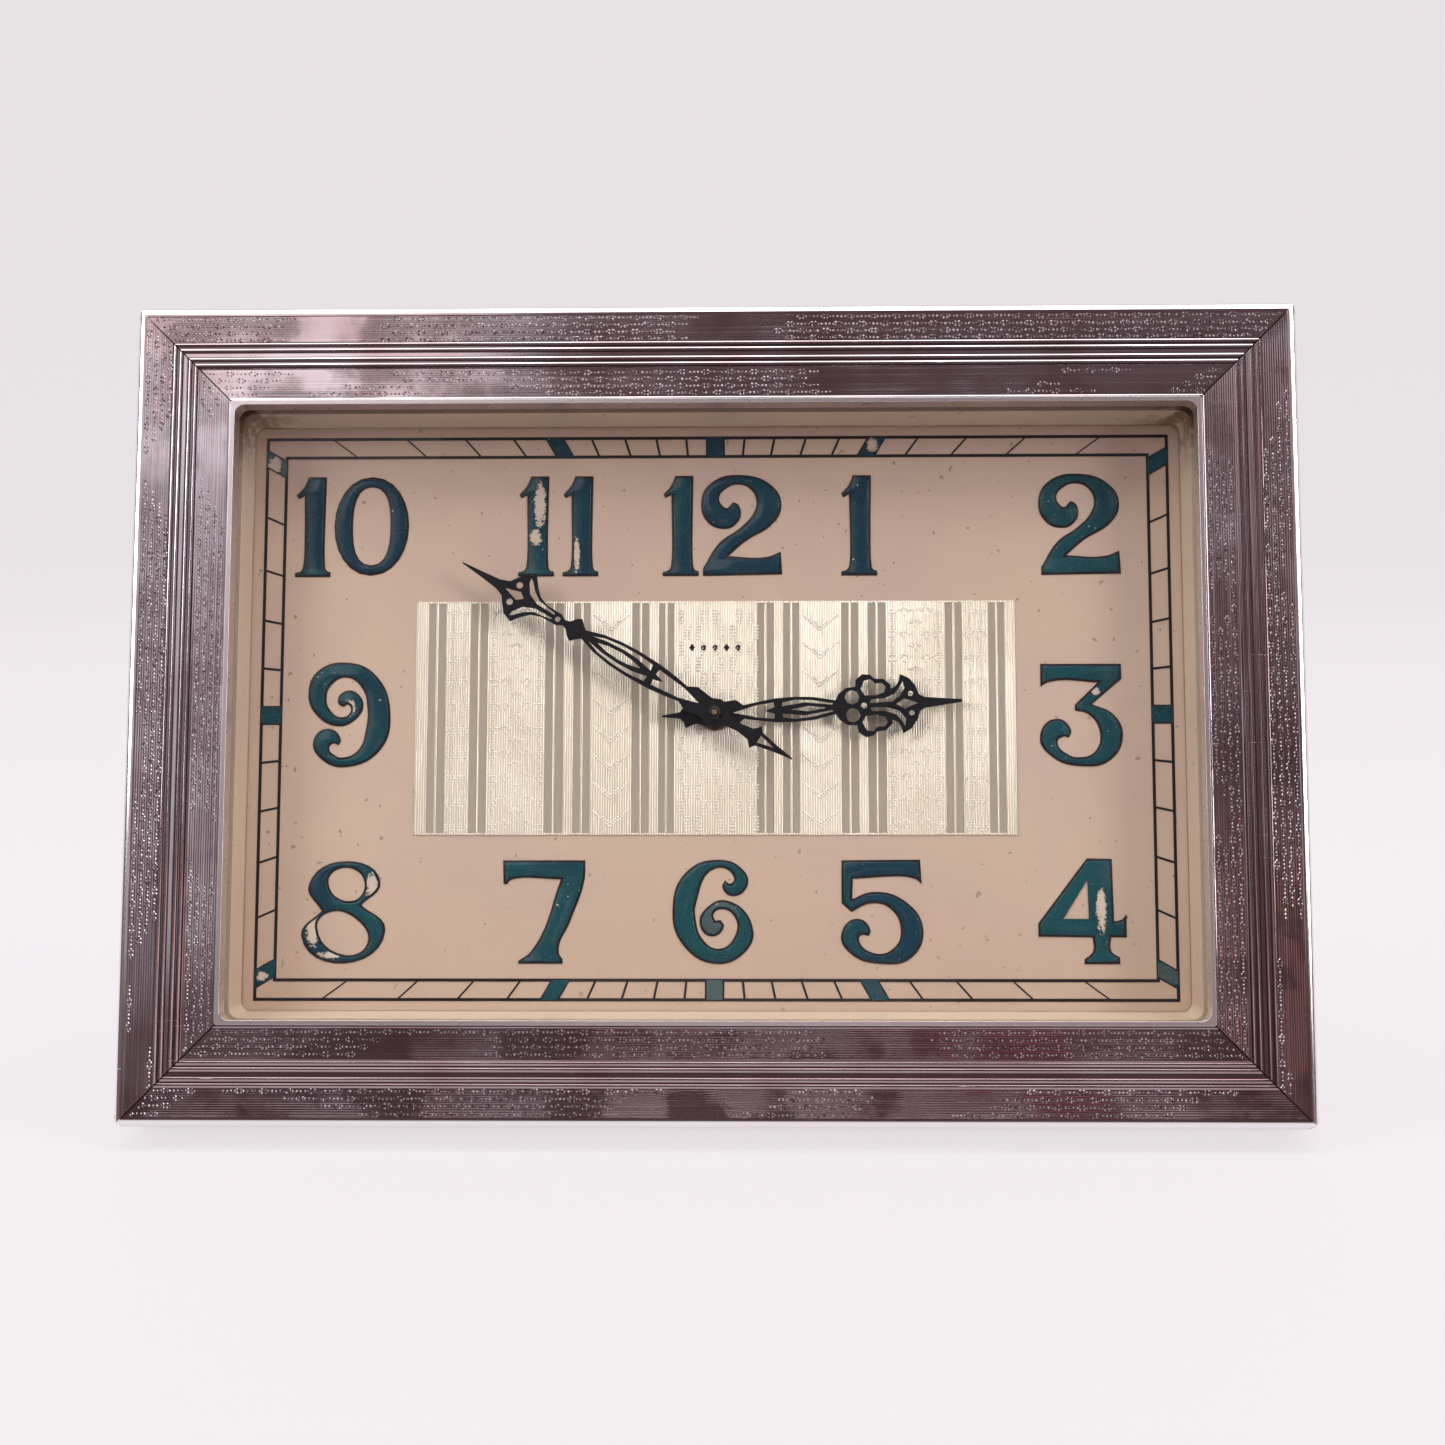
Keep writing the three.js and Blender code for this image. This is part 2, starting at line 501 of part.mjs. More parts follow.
// The centre arbor runs out through the front plate to carry the hands.
const centrePhase = phaseOfMate(INTERMEDIATE_AT, CENTRE, TEETH.intermediate, 0, TEETH.centrePinion);
add('centre_wheel', joined(
  slab(wheelShape(TEETH.centre, MODULE.centre), DEPTH.centreTeeth),
  leaves(TEETH.centrePinion, MODULE.intermediate, centrePhase, DEPTH.centreLeaves),
  turned([[0, 5], [0.45, 5], [0.45, 5.9], [0.7, 6.1], [0.7, 22.85], [PIVOT, 22.85], [PIVOT, 23.85],
    [0, 23.85]], 10)), BRASS);

const thirdPhase = phaseOfMate(CENTRE, THIRD_AT, TEETH.centre, 0, TEETH.thirdPinion);
add('third_wheel', joined(
  slab(wheelShape(TEETH.third, MODULE.third), DEPTH.thirdTeeth),
  leaves(TEETH.thirdPinion, MODULE.centre, thirdPhase, DEPTH.thirdLeaves),
  arbor(0.55)), BRASS, clock, THIRD_AT);

const fourthPhase = phaseOfMate(THIRD_AT, FOURTH_AT, TEETH.third, 0, TEETH.fourthPinion);
add('fourth_wheel', joined(
  slab(wheelShape(TEETH.fourth, MODULE.fourth), DEPTH.fourthTeeth),
  leaves(TEETH.fourthPinion, MODULE.third, fourthPhase, DEPTH.fourthLeaves),
  arbor(0.5)), BRASS, clock, FOURTH_AT);

function escapeTeeth() {
  const step = TAU / TEETH.escape;
  const club = [[1.75, 0], [2.55, 0.2], [2.6, 0.4], [1.75, 0.45]];
  const shape = polygon(Array.from({ length: TEETH.escape }, (_, i) => club.map(([radius, share]) => [
    radius * Math.cos((i + share) * step), radius * Math.sin((i + share) * step)])).flat());
  return slab(shape, DEPTH.escapeTeeth);
}
const escapePhase = phaseOfMate(FOURTH_AT, ESCAPE_AT, TEETH.fourth, 0, TEETH.escapePinion);
add('escape_wheel', joined(
  escapeTeeth(),
  leaves(TEETH.escapePinion, MODULE.fourth, escapePhase, DEPTH.escapeLeaves),
  arbor(0.4)), STEEL, clock, ESCAPE_AT);

// Anchor with two pallets over the escape wheel and a forked lever towards the balance staff.
function palletFork() {
  const lever = [[-0.35, 0.4], [-3.1, 0.4], [-3.6, 0.75], [-3.75, 0.45], [-3.45, 0]];
  const arm = [[1, 2], [0.65, 2.2], [-0.1, 1]];
  const half = [[0.4, 0.9], ...arm, ...lever];
  const lower = half.slice(0, -1).map(([x, z]) => [x, -z]).reverse();
  const anchor = polygon([[0.3, 0], ...half, ...lower]);
  return joined(slab(anchor, DEPTH.anchor), arbor(0.35));
}
const pallet = add('pallet_fork', palletFork(), STEEL, clock, PALLET_AT);
pallet.rotation.y = THREE.MathUtils.degToRad(180 - LEVER_LINE);

function balanceWheel() {
  const rim = disc(5.6, ...crossings(0.9, 4.9, 0.8, 2));
  return joined(slab(rim, DEPTH.balanceRim, 12), rod(0.45, DEPTH.balanceStaff, 8),
    slab(disc(1), DEPTH.roller, 5));
}
add('balance_wheel', balanceWheel(), BRASS, clock, BALANCE_AT);
add('hairspring', spiral(0.9, 3.2, 3, 0.12, DEPTH.hairspring), BLUED, clock, BALANCE_AT);

// The balance cock reaches over the balance from its foot on the back plate.
function balanceCock() {
  const reach = [COCK_FOOT_AT[0] - BALANCE_AT[0], COCK_FOOT_AT[1] - BALANCE_AT[1]];
  const length = Math.hypot(...reach);
  const arm = new THREE.Shape();
  arm.absarc(0, 0, 1.8, -Math.PI / 2, Math.PI / 2);
  arm.lineTo(-length, 2.4);
  arm.lineTo(-length - 1.6, 2.4);
  arm.lineTo(-length - 1.6, -2.4);
  arm.lineTo(-length, -2.4);
  arm.holes.push(roundHole(0, 0, 0.6));
  const foot = new THREE.BoxGeometry(2.6, 4.6, 4.8).translate(-length - 0.3, BACK_PLATE[1] + 2.35, 0);
  return joined(slab(arm, DEPTH.cockArm), foot)
    .rotateY(Math.PI - Math.atan2(reach[1], reach[0]));
}
add('balance_cock', balanceCock(), BRASS, clock, BALANCE_AT);

// Regulator: a ring on the cock, an arm, and a tip that shows through a slot in the cap.
const REGULATOR_REACH = 8;
function regulator() {
  const ring = disc(1.6, roundHole(0, 0, 0.8));
  const arm = polygon([[1.2, -0.45], [REGULATOR_REACH, -0.45], [REGULATOR_REACH, 0.45], [1.2, 0.45]]);
  return joined(slab(ring, DEPTH.regulator, 6), slab(arm, DEPTH.regulator),
    rod(0.55, [DEPTH.regulator[0], CAP_BACK + 1.4], 8, [REGULATOR_REACH, 0]));
}
add('regulator_index', regulator(), STEEL, clock, BALANCE_AT);

// ---- motion work, between dial and front plate ----
const cannonTeeth = gearShape(TEETH.cannon, MODULE.setting, 0, true);
cannonTeeth.holes.push(roundHole(0, 0, 0.8));
add('cannon_pinion', joined(slab(cannonTeeth, DEPTH.cannonLeaves),
  slab(disc(0.95, roundHole(0, 0, 0.8)), DEPTH.cannonPipe, 8)), STEEL);

const minutePhase = phaseOfMate(CENTRE, MINUTE_WHEEL_AT, TEETH.cannon, 0, TEETH.minuteWheel);
const minuteTeeth = gearShape(TEETH.minuteWheel, MODULE.setting, minutePhase);
const minuteLeaves = gearShape(TEETH.minutePinion, HOUR_MODULE, 0, true);
minuteTeeth.holes.push(roundHole(0, 0, 0.6));
minuteLeaves.holes.push(roundHole(0, 0, 0.6));
add('minute_wheel', joined(
  slab(minuteTeeth, DEPTH.minuteTeeth),
  slab(minuteLeaves, DEPTH.minuteLeaves)), BRASS, clock, MINUTE_WHEEL_AT);

const hourPhase = phaseOfMate(MINUTE_WHEEL_AT, CENTRE, TEETH.minutePinion, 0, TEETH.hourWheel);
const hourTeeth = gearShape(TEETH.hourWheel, HOUR_MODULE, hourPhase);
hourTeeth.holes.push(roundHole(0, 0, 1.3));
add('hour_wheel', joined(slab(hourTeeth, DEPTH.hourTeeth),
  slab(disc(1.75, roundHole(0, 0, 1.3)), DEPTH.hourPipe, 8)), BRASS);

const setPhase = phaseOfMate(MINUTE_WHEEL_AT, SET_AT, TEETH.minuteWheel, minutePhase, TEETH.setPinion);
add('set_arbor', joined(leaves(TEETH.setPinion, MODULE.setting, setPhase, DEPTH.setLeaves),
  rod(0.6, DEPTH.setArbor, 8)), STEEL, clock, SET_AT);

// Knurled hand-setting knob on the end of its arbor.
function setKnob() {
  const flutes = 18;
  const grip = polygon(Array.from({ length: flutes * 2 }, (_, i) => {
    const radius = i % 2 ? 2.95 : 3.3;
    return [radius * Math.cos((i * Math.PI) / flutes), radius * Math.sin((i * Math.PI) / flutes)];
  }));
  const bore = rod(0.66, [DEPTH.setKnob[0] - 1, DEPTH.setArbor[1] + 0.1], 8);
  return cut(slab(grip, DEPTH.setKnob), bore);
}
add('set_knob', setKnob(), BRASS, clock, SET_AT);

// ---- plates and pillars ----
const bearing = (at, radius = 0.42) => rod(radius, [0, 40], 8, at);
const trainPivots = [INTERMEDIATE_AT, THIRD_AT, FOURTH_AT, ESCAPE_AT, PALLET_AT];

add('front_plate', joined(cut(slab(disc(PLATE_RADIUS), FRONT_PLATE, 18),
  ...trainPivots.map((at) => bearing(at)), bearing(CENTRE, 0.85), bearing(BARREL_AT, 0.72),
  bearing(SET_AT, 0.72)), rod(0.5, DEPTH.minuteStud, 8, MINUTE_WHEEL_AT)), BRASS);
add('back_plate', cut(slab(disc(PLATE_RADIUS), BACK_PLATE, 18),
  ...trainPivots.map((at) => bearing(at)), bearing(CENTRE), bearing(BARREL_AT, 1.5),
  bearing(SET_AT, 0.72), bearing(BALANCE_AT, 0.9)), BRASS);
PILLARS_AT.forEach((at, i) => add(`plate_pillar_${i + 1}`, turned([[0, 14.65], [1.5, 14.65], [1.5, 15.6],
  [1.1, 16], [1.1, 21.6], [1.5, 22], [1.5, 22.95], [0, 22.95]], 8), BRASS, clock, at));

// ---- movement cap ----
function movementCap() {
  const inner = CAP_RADIUS - CAP_WALL;
  const cup = turned([[inner, BOARD[1] + 0.1], [CAP_FLANGE, BOARD[1] + 0.1], [CAP_FLANGE, BOARD[1] + 0.9],
    [CAP_RADIUS + 0.5, BOARD[1] + 0.9], [CAP_RADIUS, BOARD[1] + 1.4], [CAP_RADIUS, CAP_BACK - 0.8],
    [CAP_RADIUS - 0.8, CAP_BACK], [0, CAP_BACK], [0, CAP_BACK - CAP_WALL],
    [inner - 0.5, CAP_BACK - CAP_WALL], [inner, CAP_BACK - CAP_WALL - 0.5],
    [inner, BOARD[1] + 0.1]], 36);
  const slot = new THREE.Shape();
  const sweep = THREE.MathUtils.degToRad(26);
  slot.absarc(0, 0, REGULATOR_REACH + 0.9, -sweep, sweep);
  slot.absarc(0, 0, REGULATOR_REACH - 0.9, sweep, -sweep, true);
  return cut(cup, bearing(BARREL_AT, 2), bearing(SET_AT, 1.1),
    slab(slot, [30, 33], 4).translate(BALANCE_AT[0], 0, BALANCE_AT[1]),
    ...CAP_SCREWS_AT.map((at) => bearing(at, 0.9)));
}
add('movement_cap', movementCap(), BRASS);

function capScrew() {
  const under = BOARD[1] + 0.95;
  const profile = [[0, BOARD[0] + 0.9], [0.7, BOARD[0] + 0.9], [0.7, under], [1.5, under], [1.5, under + 0.5],
    [1.1, under + 0.9], [0, under + 1]];
  return cut(turned(profile, 10), new THREE.BoxGeometry(4, 0.8, 0.45).translate(0, under + 1, 0));
}
CAP_SCREWS_AT.forEach((at, i) => add(`cap_screw_${i + 1}`, capScrew(), BRASS, clock, at));

// ---- winding key ----
function windingKey() {
  const { front, back, bore: inner, radius, pivot, arborEnd } = KEY_BOSS;
  const floor = arborEnd + CLEAR;
  const boss = turned([[inner, front], [radius, front], [radius, back - 0.6], [radius - 0.6, back], [0, back],
    [0, floor], [inner, floor], [inner, front]], 14);
  const trunnion = new THREE.CylinderGeometry(0.55, 0.55, 8.6, 8).rotateZ(Math.PI / 2)
    .translate(0, pivot, 0);
  const bore = rod(inner, [front - 0.2, floor], 14);
  return toGeometry(toSolid(boss).add(toSolid(trunnion)).subtract(toSolid(bore)));
}
add('winding_key', windingKey(), BRASS, clock, BARREL_AT);

// A loop hinged on the key's trunnions; it hangs folded against the cap.
const LOOP_HALF = 0.95; // half its thickness
function keyWing() {
  const loop = new THREE.Shape();
  loop.moveTo(3.3, 1.1);
  loop.lineTo(3.3, -3.2);
  loop.absarc(0, -5.2, 3.86, 0.545, Math.PI - 0.545, true);
  loop.lineTo(-3.3, 1.1);
  loop.lineTo(-4.7, 1.1);
  loop.lineTo(-4.7, -3.2);
  loop.absarc(0, -5.2, 5.1, Math.PI - 0.4, 0.4, false);
  loop.lineTo(4.7, 1.1);
  const axle = new THREE.CylinderGeometry(0.65, 0.65, 12, 8).rotateZ(Math.PI / 2)
    .translate(0, KEY_BOSS.pivot, 0);
  return cut(slab(loop, [KEY_BOSS.pivot - LOOP_HALF, KEY_BOSS.pivot + LOOP_HALF], 8), axle);
}
add('key_wing', keyWing(), BRASS, clock, BARREL_AT);

// ---- strut hinge and strut ----
const knuckles = (spans) => spans.map(([x0, x1]) =>
  new THREE.CylinderGeometry(PIN.knuckle, PIN.knuckle, x1 - x0, 12).rotateZ(Math.PI / 2)
    .translate((x0 + x1) / 2, 0, 0));
const pinBore = new THREE.CylinderGeometry(PIN.bore, PIN.bore, 40, 12).rotateZ(Math.PI / 2);
const THIRD = PIN.half / 3;

function caseLeaf() {
  const plate = new THREE.BoxGeometry(2 * PIN.half, 0.9, 10.2).translate(0, 19.55 - PIN.y, 5.1);
  const notch = new THREE.BoxGeometry(2 * THIRD + CLEAR, 4, 4.2);
  const barrels = knuckles([[-PIN.half, -THIRD - 0.15], [THIRD + 0.15, PIN.half]]);
  return cut(joined(plate, ...barrels), notch, pinBore);
}
add('hinge_case_leaf', caseLeaf().translate(0, PIN.y, PIN.z), BRASS);
add('hinge_pin', new THREE.CylinderGeometry(PIN.radius, PIN.radius, 2 * PIN.half, 10).rotateZ(Math.PI / 2)
  .translate(0, PIN.y, PIN.z), STEEL);

strutGroup.position.set(0, PIN.y, PIN.z);
strutGroup.rotation.x = STRUT_OPEN;
clock.add(strutGroup);

// Inside the strut group the strut hangs from the pin along -z, and the table is a slanted plane.
const TILT = STRUT_OPEN - LEAN;
const PIN_ABOVE_TABLE = (PIN.z - tableAt(PIN.y)) * Math.cos(LEAN);
const tableUnder = (n, raise = 0) => (raise - PIN_ABOVE_TABLE - n * Math.sin(TILT)) / Math.cos(TILT);

function strutLeaf() {
  const plate = new THREE.BoxGeometry(2 * PIN.half, 0.9, 9.5).translate(0, 1.25, -4.75);
  const sides = [-1, 1].map((side) =>
    new THREE.BoxGeometry(2 * THIRD + 0.15, 4, 4.2).translate(side * (2 * THIRD + 0.075), 0, 0));
  return cut(joined(plate, ...knuckles([[-THIRD + 0.15, THIRD - 0.15]])), ...sides, pinBore);
}
add('hinge_strut_leaf', strutLeaf(), BRASS, strutGroup);

function strut() {
  const top = 0.5;
  const shape = new THREE.Shape();
  shape.moveTo(23, top);
  shape.lineTo(-23, top);
  shape.lineTo(-23, -5);
  shape.bezierCurveTo(-23, -22, -43, -22, -43, -46);
  shape.bezierCurveTo(-43, -74, -19, -80, -19, -120);
  shape.lineTo(19, -120);
  shape.bezierCurveTo(19, -80, 43, -74, 43, -46);
  shape.bezierCurveTo(43, -22, 23, -22, 23, -5);
  const board = slab(shape, [-STRUT_HALF, STRUT_HALF], 8);
  const hole = rod(STRUT_HOLE, [-4, 4], 40, [0, -PIN.z]);
  const knuckleNotch = new THREE.BoxGeometry(2 * PIN.half + 0.6, 6, 4.6);
  const leafRecess = new THREE.BoxGeometry(2 * PIN.half + 0.6, 2, 10).translate(0, 1.7, -4.9);
  const below = new THREE.BoxGeometry(100, 60, 30).translate(0, 0, -15).rotateX(-TILT)
    .translate(0, 0, tableUnder(0, FOOT_PAD + 0.1));
  return cut(board, hole, knuckleNotch, leafRecess, below);
}
add('strut', strut(), WOOD, strutGroup);

const PAD_HALF = STRUT_HALF - 0.1;
const padSection = polygon([
  [-PAD_HALF, tableUnder(-PAD_HALF)], [PAD_HALF, tableUnder(PAD_HALF)],
  [PAD_HALF, tableUnder(PAD_HALF, FOOT_PAD)], [-PAD_HALF, tableUnder(-PAD_HALF, FOOT_PAD)]]);
add('strut_foot', across(padSection, -PAD_LENGTH / 2, PAD_LENGTH / 2), FELT, strutGroup);

// ---- the clock standing on its table ----
clock.rotation.x = -LEAN;
clock.position.z = STAND;
const part = new THREE.Group();
part.add(clock);
part.updateMatrixWorld(true);
const box = new THREE.Box3().setFromObject(clock, true);
clock.position.y = -(box.min.y + box.max.y) / 2;

export default part;
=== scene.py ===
"""The looks of a strut clock: engine-turned silver, enamelled dial, pierced hands and walnut back.

New pieces are laid out upright in millimetres (x right, y back, z up, origin in the middle of the
face) and then leaned back and moved to where the frame has them.
"""
import json
import math
import bpy
from mathutils import Matrix, Vector, noise


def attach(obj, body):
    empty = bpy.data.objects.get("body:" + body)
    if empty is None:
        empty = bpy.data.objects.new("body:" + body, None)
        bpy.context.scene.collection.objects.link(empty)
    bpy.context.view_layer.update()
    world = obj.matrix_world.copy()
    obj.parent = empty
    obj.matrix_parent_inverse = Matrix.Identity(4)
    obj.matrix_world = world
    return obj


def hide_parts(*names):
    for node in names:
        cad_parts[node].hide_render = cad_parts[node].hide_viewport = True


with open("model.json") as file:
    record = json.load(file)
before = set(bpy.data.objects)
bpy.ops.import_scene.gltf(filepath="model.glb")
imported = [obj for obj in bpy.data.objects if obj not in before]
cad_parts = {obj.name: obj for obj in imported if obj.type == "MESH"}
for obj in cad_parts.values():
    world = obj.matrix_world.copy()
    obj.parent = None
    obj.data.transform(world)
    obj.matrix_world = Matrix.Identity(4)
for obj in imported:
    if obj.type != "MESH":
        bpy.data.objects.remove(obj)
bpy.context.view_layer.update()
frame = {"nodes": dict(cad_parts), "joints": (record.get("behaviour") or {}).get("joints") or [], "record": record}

# ---- where the clock stands ----
JOINTS = {joint["name"]: joint for joint in frame["joints"]}
HAND_AXIS = Vector(JOINTS["minute_hand_turn"]["axis"])
JOINT_DEPTH = 20.0  # the train's joint points lie this far behind the face
LEAN = math.atan2(-HAND_AXIS.z, HAND_AXIS.y)
MM = 0.001
FACE = Vector(JOINTS["minute_hand_turn"]["pos_m"]) - HAND_AXIS * JOINT_DEPTH * MM
UPRIGHT_TO_ROOM = Matrix.Translation(FACE) @ Matrix.Rotation(-LEAN, 4, "X") @ Matrix.Scale(MM, 4)
ROOM_TO_UPRIGHT = UPRIGHT_TO_ROOM.inverted()


def upright_box(*nodes):
    """Lowest and highest corner of some nodes in the upright layout, in millimetres."""
    points = [ROOM_TO_UPRIGHT @ v.co for n in nodes for v in frame["nodes"][n].data.vertices]
    return (Vector(min(p[i] for p in points) for i in range(3)),
            Vector(max(p[i] for p in points) for i in range(3)))


rail_high = upright_box("rail_top", "rail_right", "rail_bottom", "rail_left")[1]
HALF_W, HALF_H, RETURN_BACK = rail_high.x, rail_high.z, rail_high.y
DIAL_FRONT = upright_box("dial_plate")[0].y
BEZEL_GAP = 0.1
RAIL = HALF_W - upright_box("sight_bezel")[1].x - BEZEL_GAP  # width of a strip, outer edge to sight
EDGE_ROUND = 1.1  # radius of the strips' outer edge
SIGHT_RISE = 0.86  # how far a strip stands forward at the sight
SILVER = 0.8  # thickness of the sheet


# ---- small tools ----
def fresh():
    """Object mode, with nothing selected."""
    if bpy.context.mode != "OBJECT":
        bpy.ops.object.mode_set(mode="OBJECT")
    bpy.ops.object.select_all(action="DESELECT")


def only(piece):
    fresh()
    piece.select_set(True)
    bpy.context.view_layer.objects.active = piece


def edit(piece):
    only(piece)
    bpy.ops.object.mode_set(mode="EDIT")
    bpy.ops.mesh.select_all(action="SELECT")


def done():
    bpy.ops.object.mode_set(mode="OBJECT")


def modify(piece, kind, **settings):
    only(piece)
    modifier = piece.modifiers.new(kind.lower(), kind)
    for name, value in settings.items():
        setattr(modifier, name, value)
    bpy.ops.object.modifier_apply(modifier=modifier.name)


def soften(piece, width, segments=2, angle=30):
    modify(piece, "BEVEL", width=width, segments=segments, limit_method="ANGLE",
           angle_limit=math.radians(angle), use_clamp_overlap=True)


def smooth(piece, angle=35):
    only(piece)
    bpy.ops.object.shade_smooth_by_angle(angle=math.radians(angle))


def fit(piece, body, slot, material, *nodes, name=None):
    """Gives a finished piece its finish and its place on a body."""
    if name:
        piece.name = name
    piece.data.materials.clear()
    piece.data.materials.append(material)
    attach(piece, body)
    if nodes:
        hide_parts(*nodes)
    return piece


def lean(piece):
    piece.data.transform(UPRIGHT_TO_ROOM)
    piece.data.update()
    return piece


def join(pieces):
    fresh()
    for piece in pieces:
        piece.select_set(True)
    bpy.context.view_layer.objects.active = pieces[0]
    if len(pieces) > 1:
        bpy.ops.object.join()
    return pieces[0]


def bar(points, lengths):
    """A closed section of (inward, depth) points drawn out along x, one step for each length."""
    fresh()
    bpy.ops.mesh.primitive_circle_add(vertices=len(points), fill_type="NGON")
    piece = bpy.context.object
    for vertex, (inward, depth) in zip(piece.data.vertices, points):
        vertex.co = (0, depth, -inward)
    edit(piece)
    for length in lengths:
        bpy.ops.mesh.extrude_region_move(TRANSFORM_OT_translate={"value": (length, 0, 0)})
    bpy.ops.mesh.select_all(action="SELECT")
    bpy.ops.mesh.normals_make_consistent(inside=False)
    done()
    return piece


def drawn(outlines, depth, thickness, bevel=0.0, offset=0.0, resolution=6):
    """Closed outlines in the face plane, filled and raised from `depth` forwards by `thickness`.

    An outline is (x, z, kind) points; kind "c" is a corner and "s" a point on a curve.
    """
    data = bpy.data.curves.new("outline", "CURVE")
    data.dimensions, data.fill_mode = "2D", "BOTH"
    data.resolution_u, data.offset = resolution, offset
    data.extrude, data.bevel_depth, data.bevel_resolution = thickness / 2 - bevel, bevel, 1
    for points in outlines:
        spline = data.splines.new("BEZIER")
        spline.bezier_points.add(len(points) - 1)
        spline.use_cyclic_u = True
        for knot, (x, z, kind) in zip(spline.bezier_points, points):
            knot.co = (x, z, 0)
            knot.handle_left_type = knot.handle_right_type = "VECTOR" if kind == "c" else "AUTO"
    piece = bpy.data.objects.new("outline", data)
    bpy.context.scene.collection.objects.link(piece)
    only(piece)
    bpy.ops.object.convert(target="MESH")
    piece = bpy.context.object
    # the curve lies in x, y and rises along z: stand it up facing the reader
    stand_up = Matrix.Rotation(math.pi / 2, 4, "X")
    piece.data.transform(Matrix.Translation((0, depth - thickness / 2, 0)) @ stand_up)
    edit(piece)
    bpy.ops.mesh.remove_doubles(threshold=0.0005)
    done()
    return piece


# ---- shader maths ----
class Value:
    """A shader number; sums and products of it add Math nodes."""

    def __init__(self, finish, socket):
        self.finish, self.socket = finish, socket

    def _math(self, operation, *others):
        inputs = {i: x for i, x in enumerate((self, *others))}
        return self.finish.node("ShaderNodeMath", {"operation": operation}, inputs)

    def __add__(self, other):
        return self._math("ADD", other)

    def __sub__(self, other):
        return self._math("SUBTRACT", other)

    def __mul__(self, other):
        return self._math("MULTIPLY", other)

    def __truediv__(self, other):
        return self._math("DIVIDE", other)

    def __rsub__(self, other):
        return self * -1 + other

    __radd__ = __add__
    __rmul__ = __mul__

    def size(self):
        return self._math("ABSOLUTE")

    def wave(self):
        return self._math("SINE")

    def least(self, other):
        return self._math("MINIMUM", other)

    def most(self, other):
        return self._math("MAXIMUM", other)

    def power(self, exponent):
        return self._math("POWER", exponent)

    def between(self, low, high):
        """0 at low, 1 at high, smooth in between; low may be the larger."""
        return self.finish.node("ShaderNodeMapRange", {"interpolation_type": "SMOOTHSTEP"},
                                {"Value": self, "From Min": low, "From Max": high})


class Finish:
    """One material, with upright millimetre coordinates to draw its patterns in."""

    def __init__(self, name, **shader):
        self.material = bpy.data.materials.new(name)
        self.material.use_nodes = True
        self.tree = self.material.node_tree
        self.shader = self.tree.nodes["Principled BSDF"]
        self.set(**shader)

    def set(self, **values):
        for name, value in values.items():
            socket = self.shader.inputs[name.replace("_", " ").title().replace("Ior", "IOR")]
            self.feed(socket, value)
        return self

    def feed(self, socket, value):
        if isinstance(value, Value):
            self.tree.links.new(value.socket, socket)
        else:
            socket.default_value = value

    def node(self, kind, settings, inputs, output=0):
        node = self.tree.nodes.new(kind)
        for name, value in settings.items():
            setattr(node, name, value)
        for name, value in inputs.items():
            self.feed(node.inputs[name], value)
        return Value(self, node.outputs[output])

    def place(self):
        """Upright millimetre coordinates of the point being shaded."""
        room = self.node("ShaderNodeTexCoord", {}, {}, "Object")
        turn = Matrix.Rotation(LEAN, 3, "X")
        return self.node("ShaderNodeMapping", {}, {
            "Vector": room, "Scale": (1 / MM, 1 / MM, 1 / MM),
            "Rotation": (LEAN, 0, 0), "Location": -(turn @ FACE) / MM})

    def split(self, vector):
        node = self.tree.nodes.new("ShaderNodeSeparateXYZ")
        self.feed(node.inputs[0], vector)
        return [Value(self, node.outputs[i]) for i in range(3)]

    def noise(self, vector, scale, detail=3, roughness=0.5):
        return self.node("ShaderNodeTexNoise", {}, {
            "Vector": vector, "Scale": scale, "Detail": detail, "Roughness": roughness})

    def scratched(self, vector, angle, sparse):
        """1 along thin straight scratches that lie at an angle in the face plane."""
        turned = self.node("ShaderNodeMapping", {}, {
            "Vector": vector, "Rotation": (0, angle, 0), "Scale": (0.045, 0.045, 2.4)})
        return self.noise(turned, 1.0, 3, 0.7).between(sparse, sparse + 0.03)

    def stretch(self, vector, scale):
        return self.node("ShaderNodeVectorMath", {"operation": "MULTIPLY"}, {0: vector, 1: scale})

    def mix(self, factor, first, second):
        node = self.tree.nodes.new("ShaderNodeMix")
        node.data_type = "RGBA"
        self.feed(node.inputs[0], factor)
        self.feed(node.inputs[6], first)
        self.feed(node.inputs[7], second)
        return Value(self, node.outputs[2])

    def bump(self, height, distance, strength=1.0):
        self.set(Normal=self.node("ShaderNodeBump", {}, {
            "Height": height, "Distance": distance * MM, "Strength": strength}))
        return self


def spots(x, z, places, ragged):
    """1 inside any of some ellipses (x, z, half width, half height), with ragged edges."""
    total = None
    for cx, cz, rx, rz in places:
        reach = ((x - cx) / rx).power(2) + ((z - cz) / rz).power(2) + ragged
        inside = reach.between(1.05, 0.95)
        total = inside if total is None else total.most(inside)
    return total


# ---- finishes ----
RIDGES = (6.15, 7.1, 8.55, 9.5)  # inward distance of the four reeds
GROOVE = 0.36  # from the middle of a reed to the groove beside it
LINE_PITCH = 0.36  # between the fine turned lines of a strip
PANEL_PITCH = 0.38  # and between those of the dial's panel
BAND_ENDS = ((1.6, 5.9), (10.2, RAIL - 0.3))  # inward distances of the two engraved bands


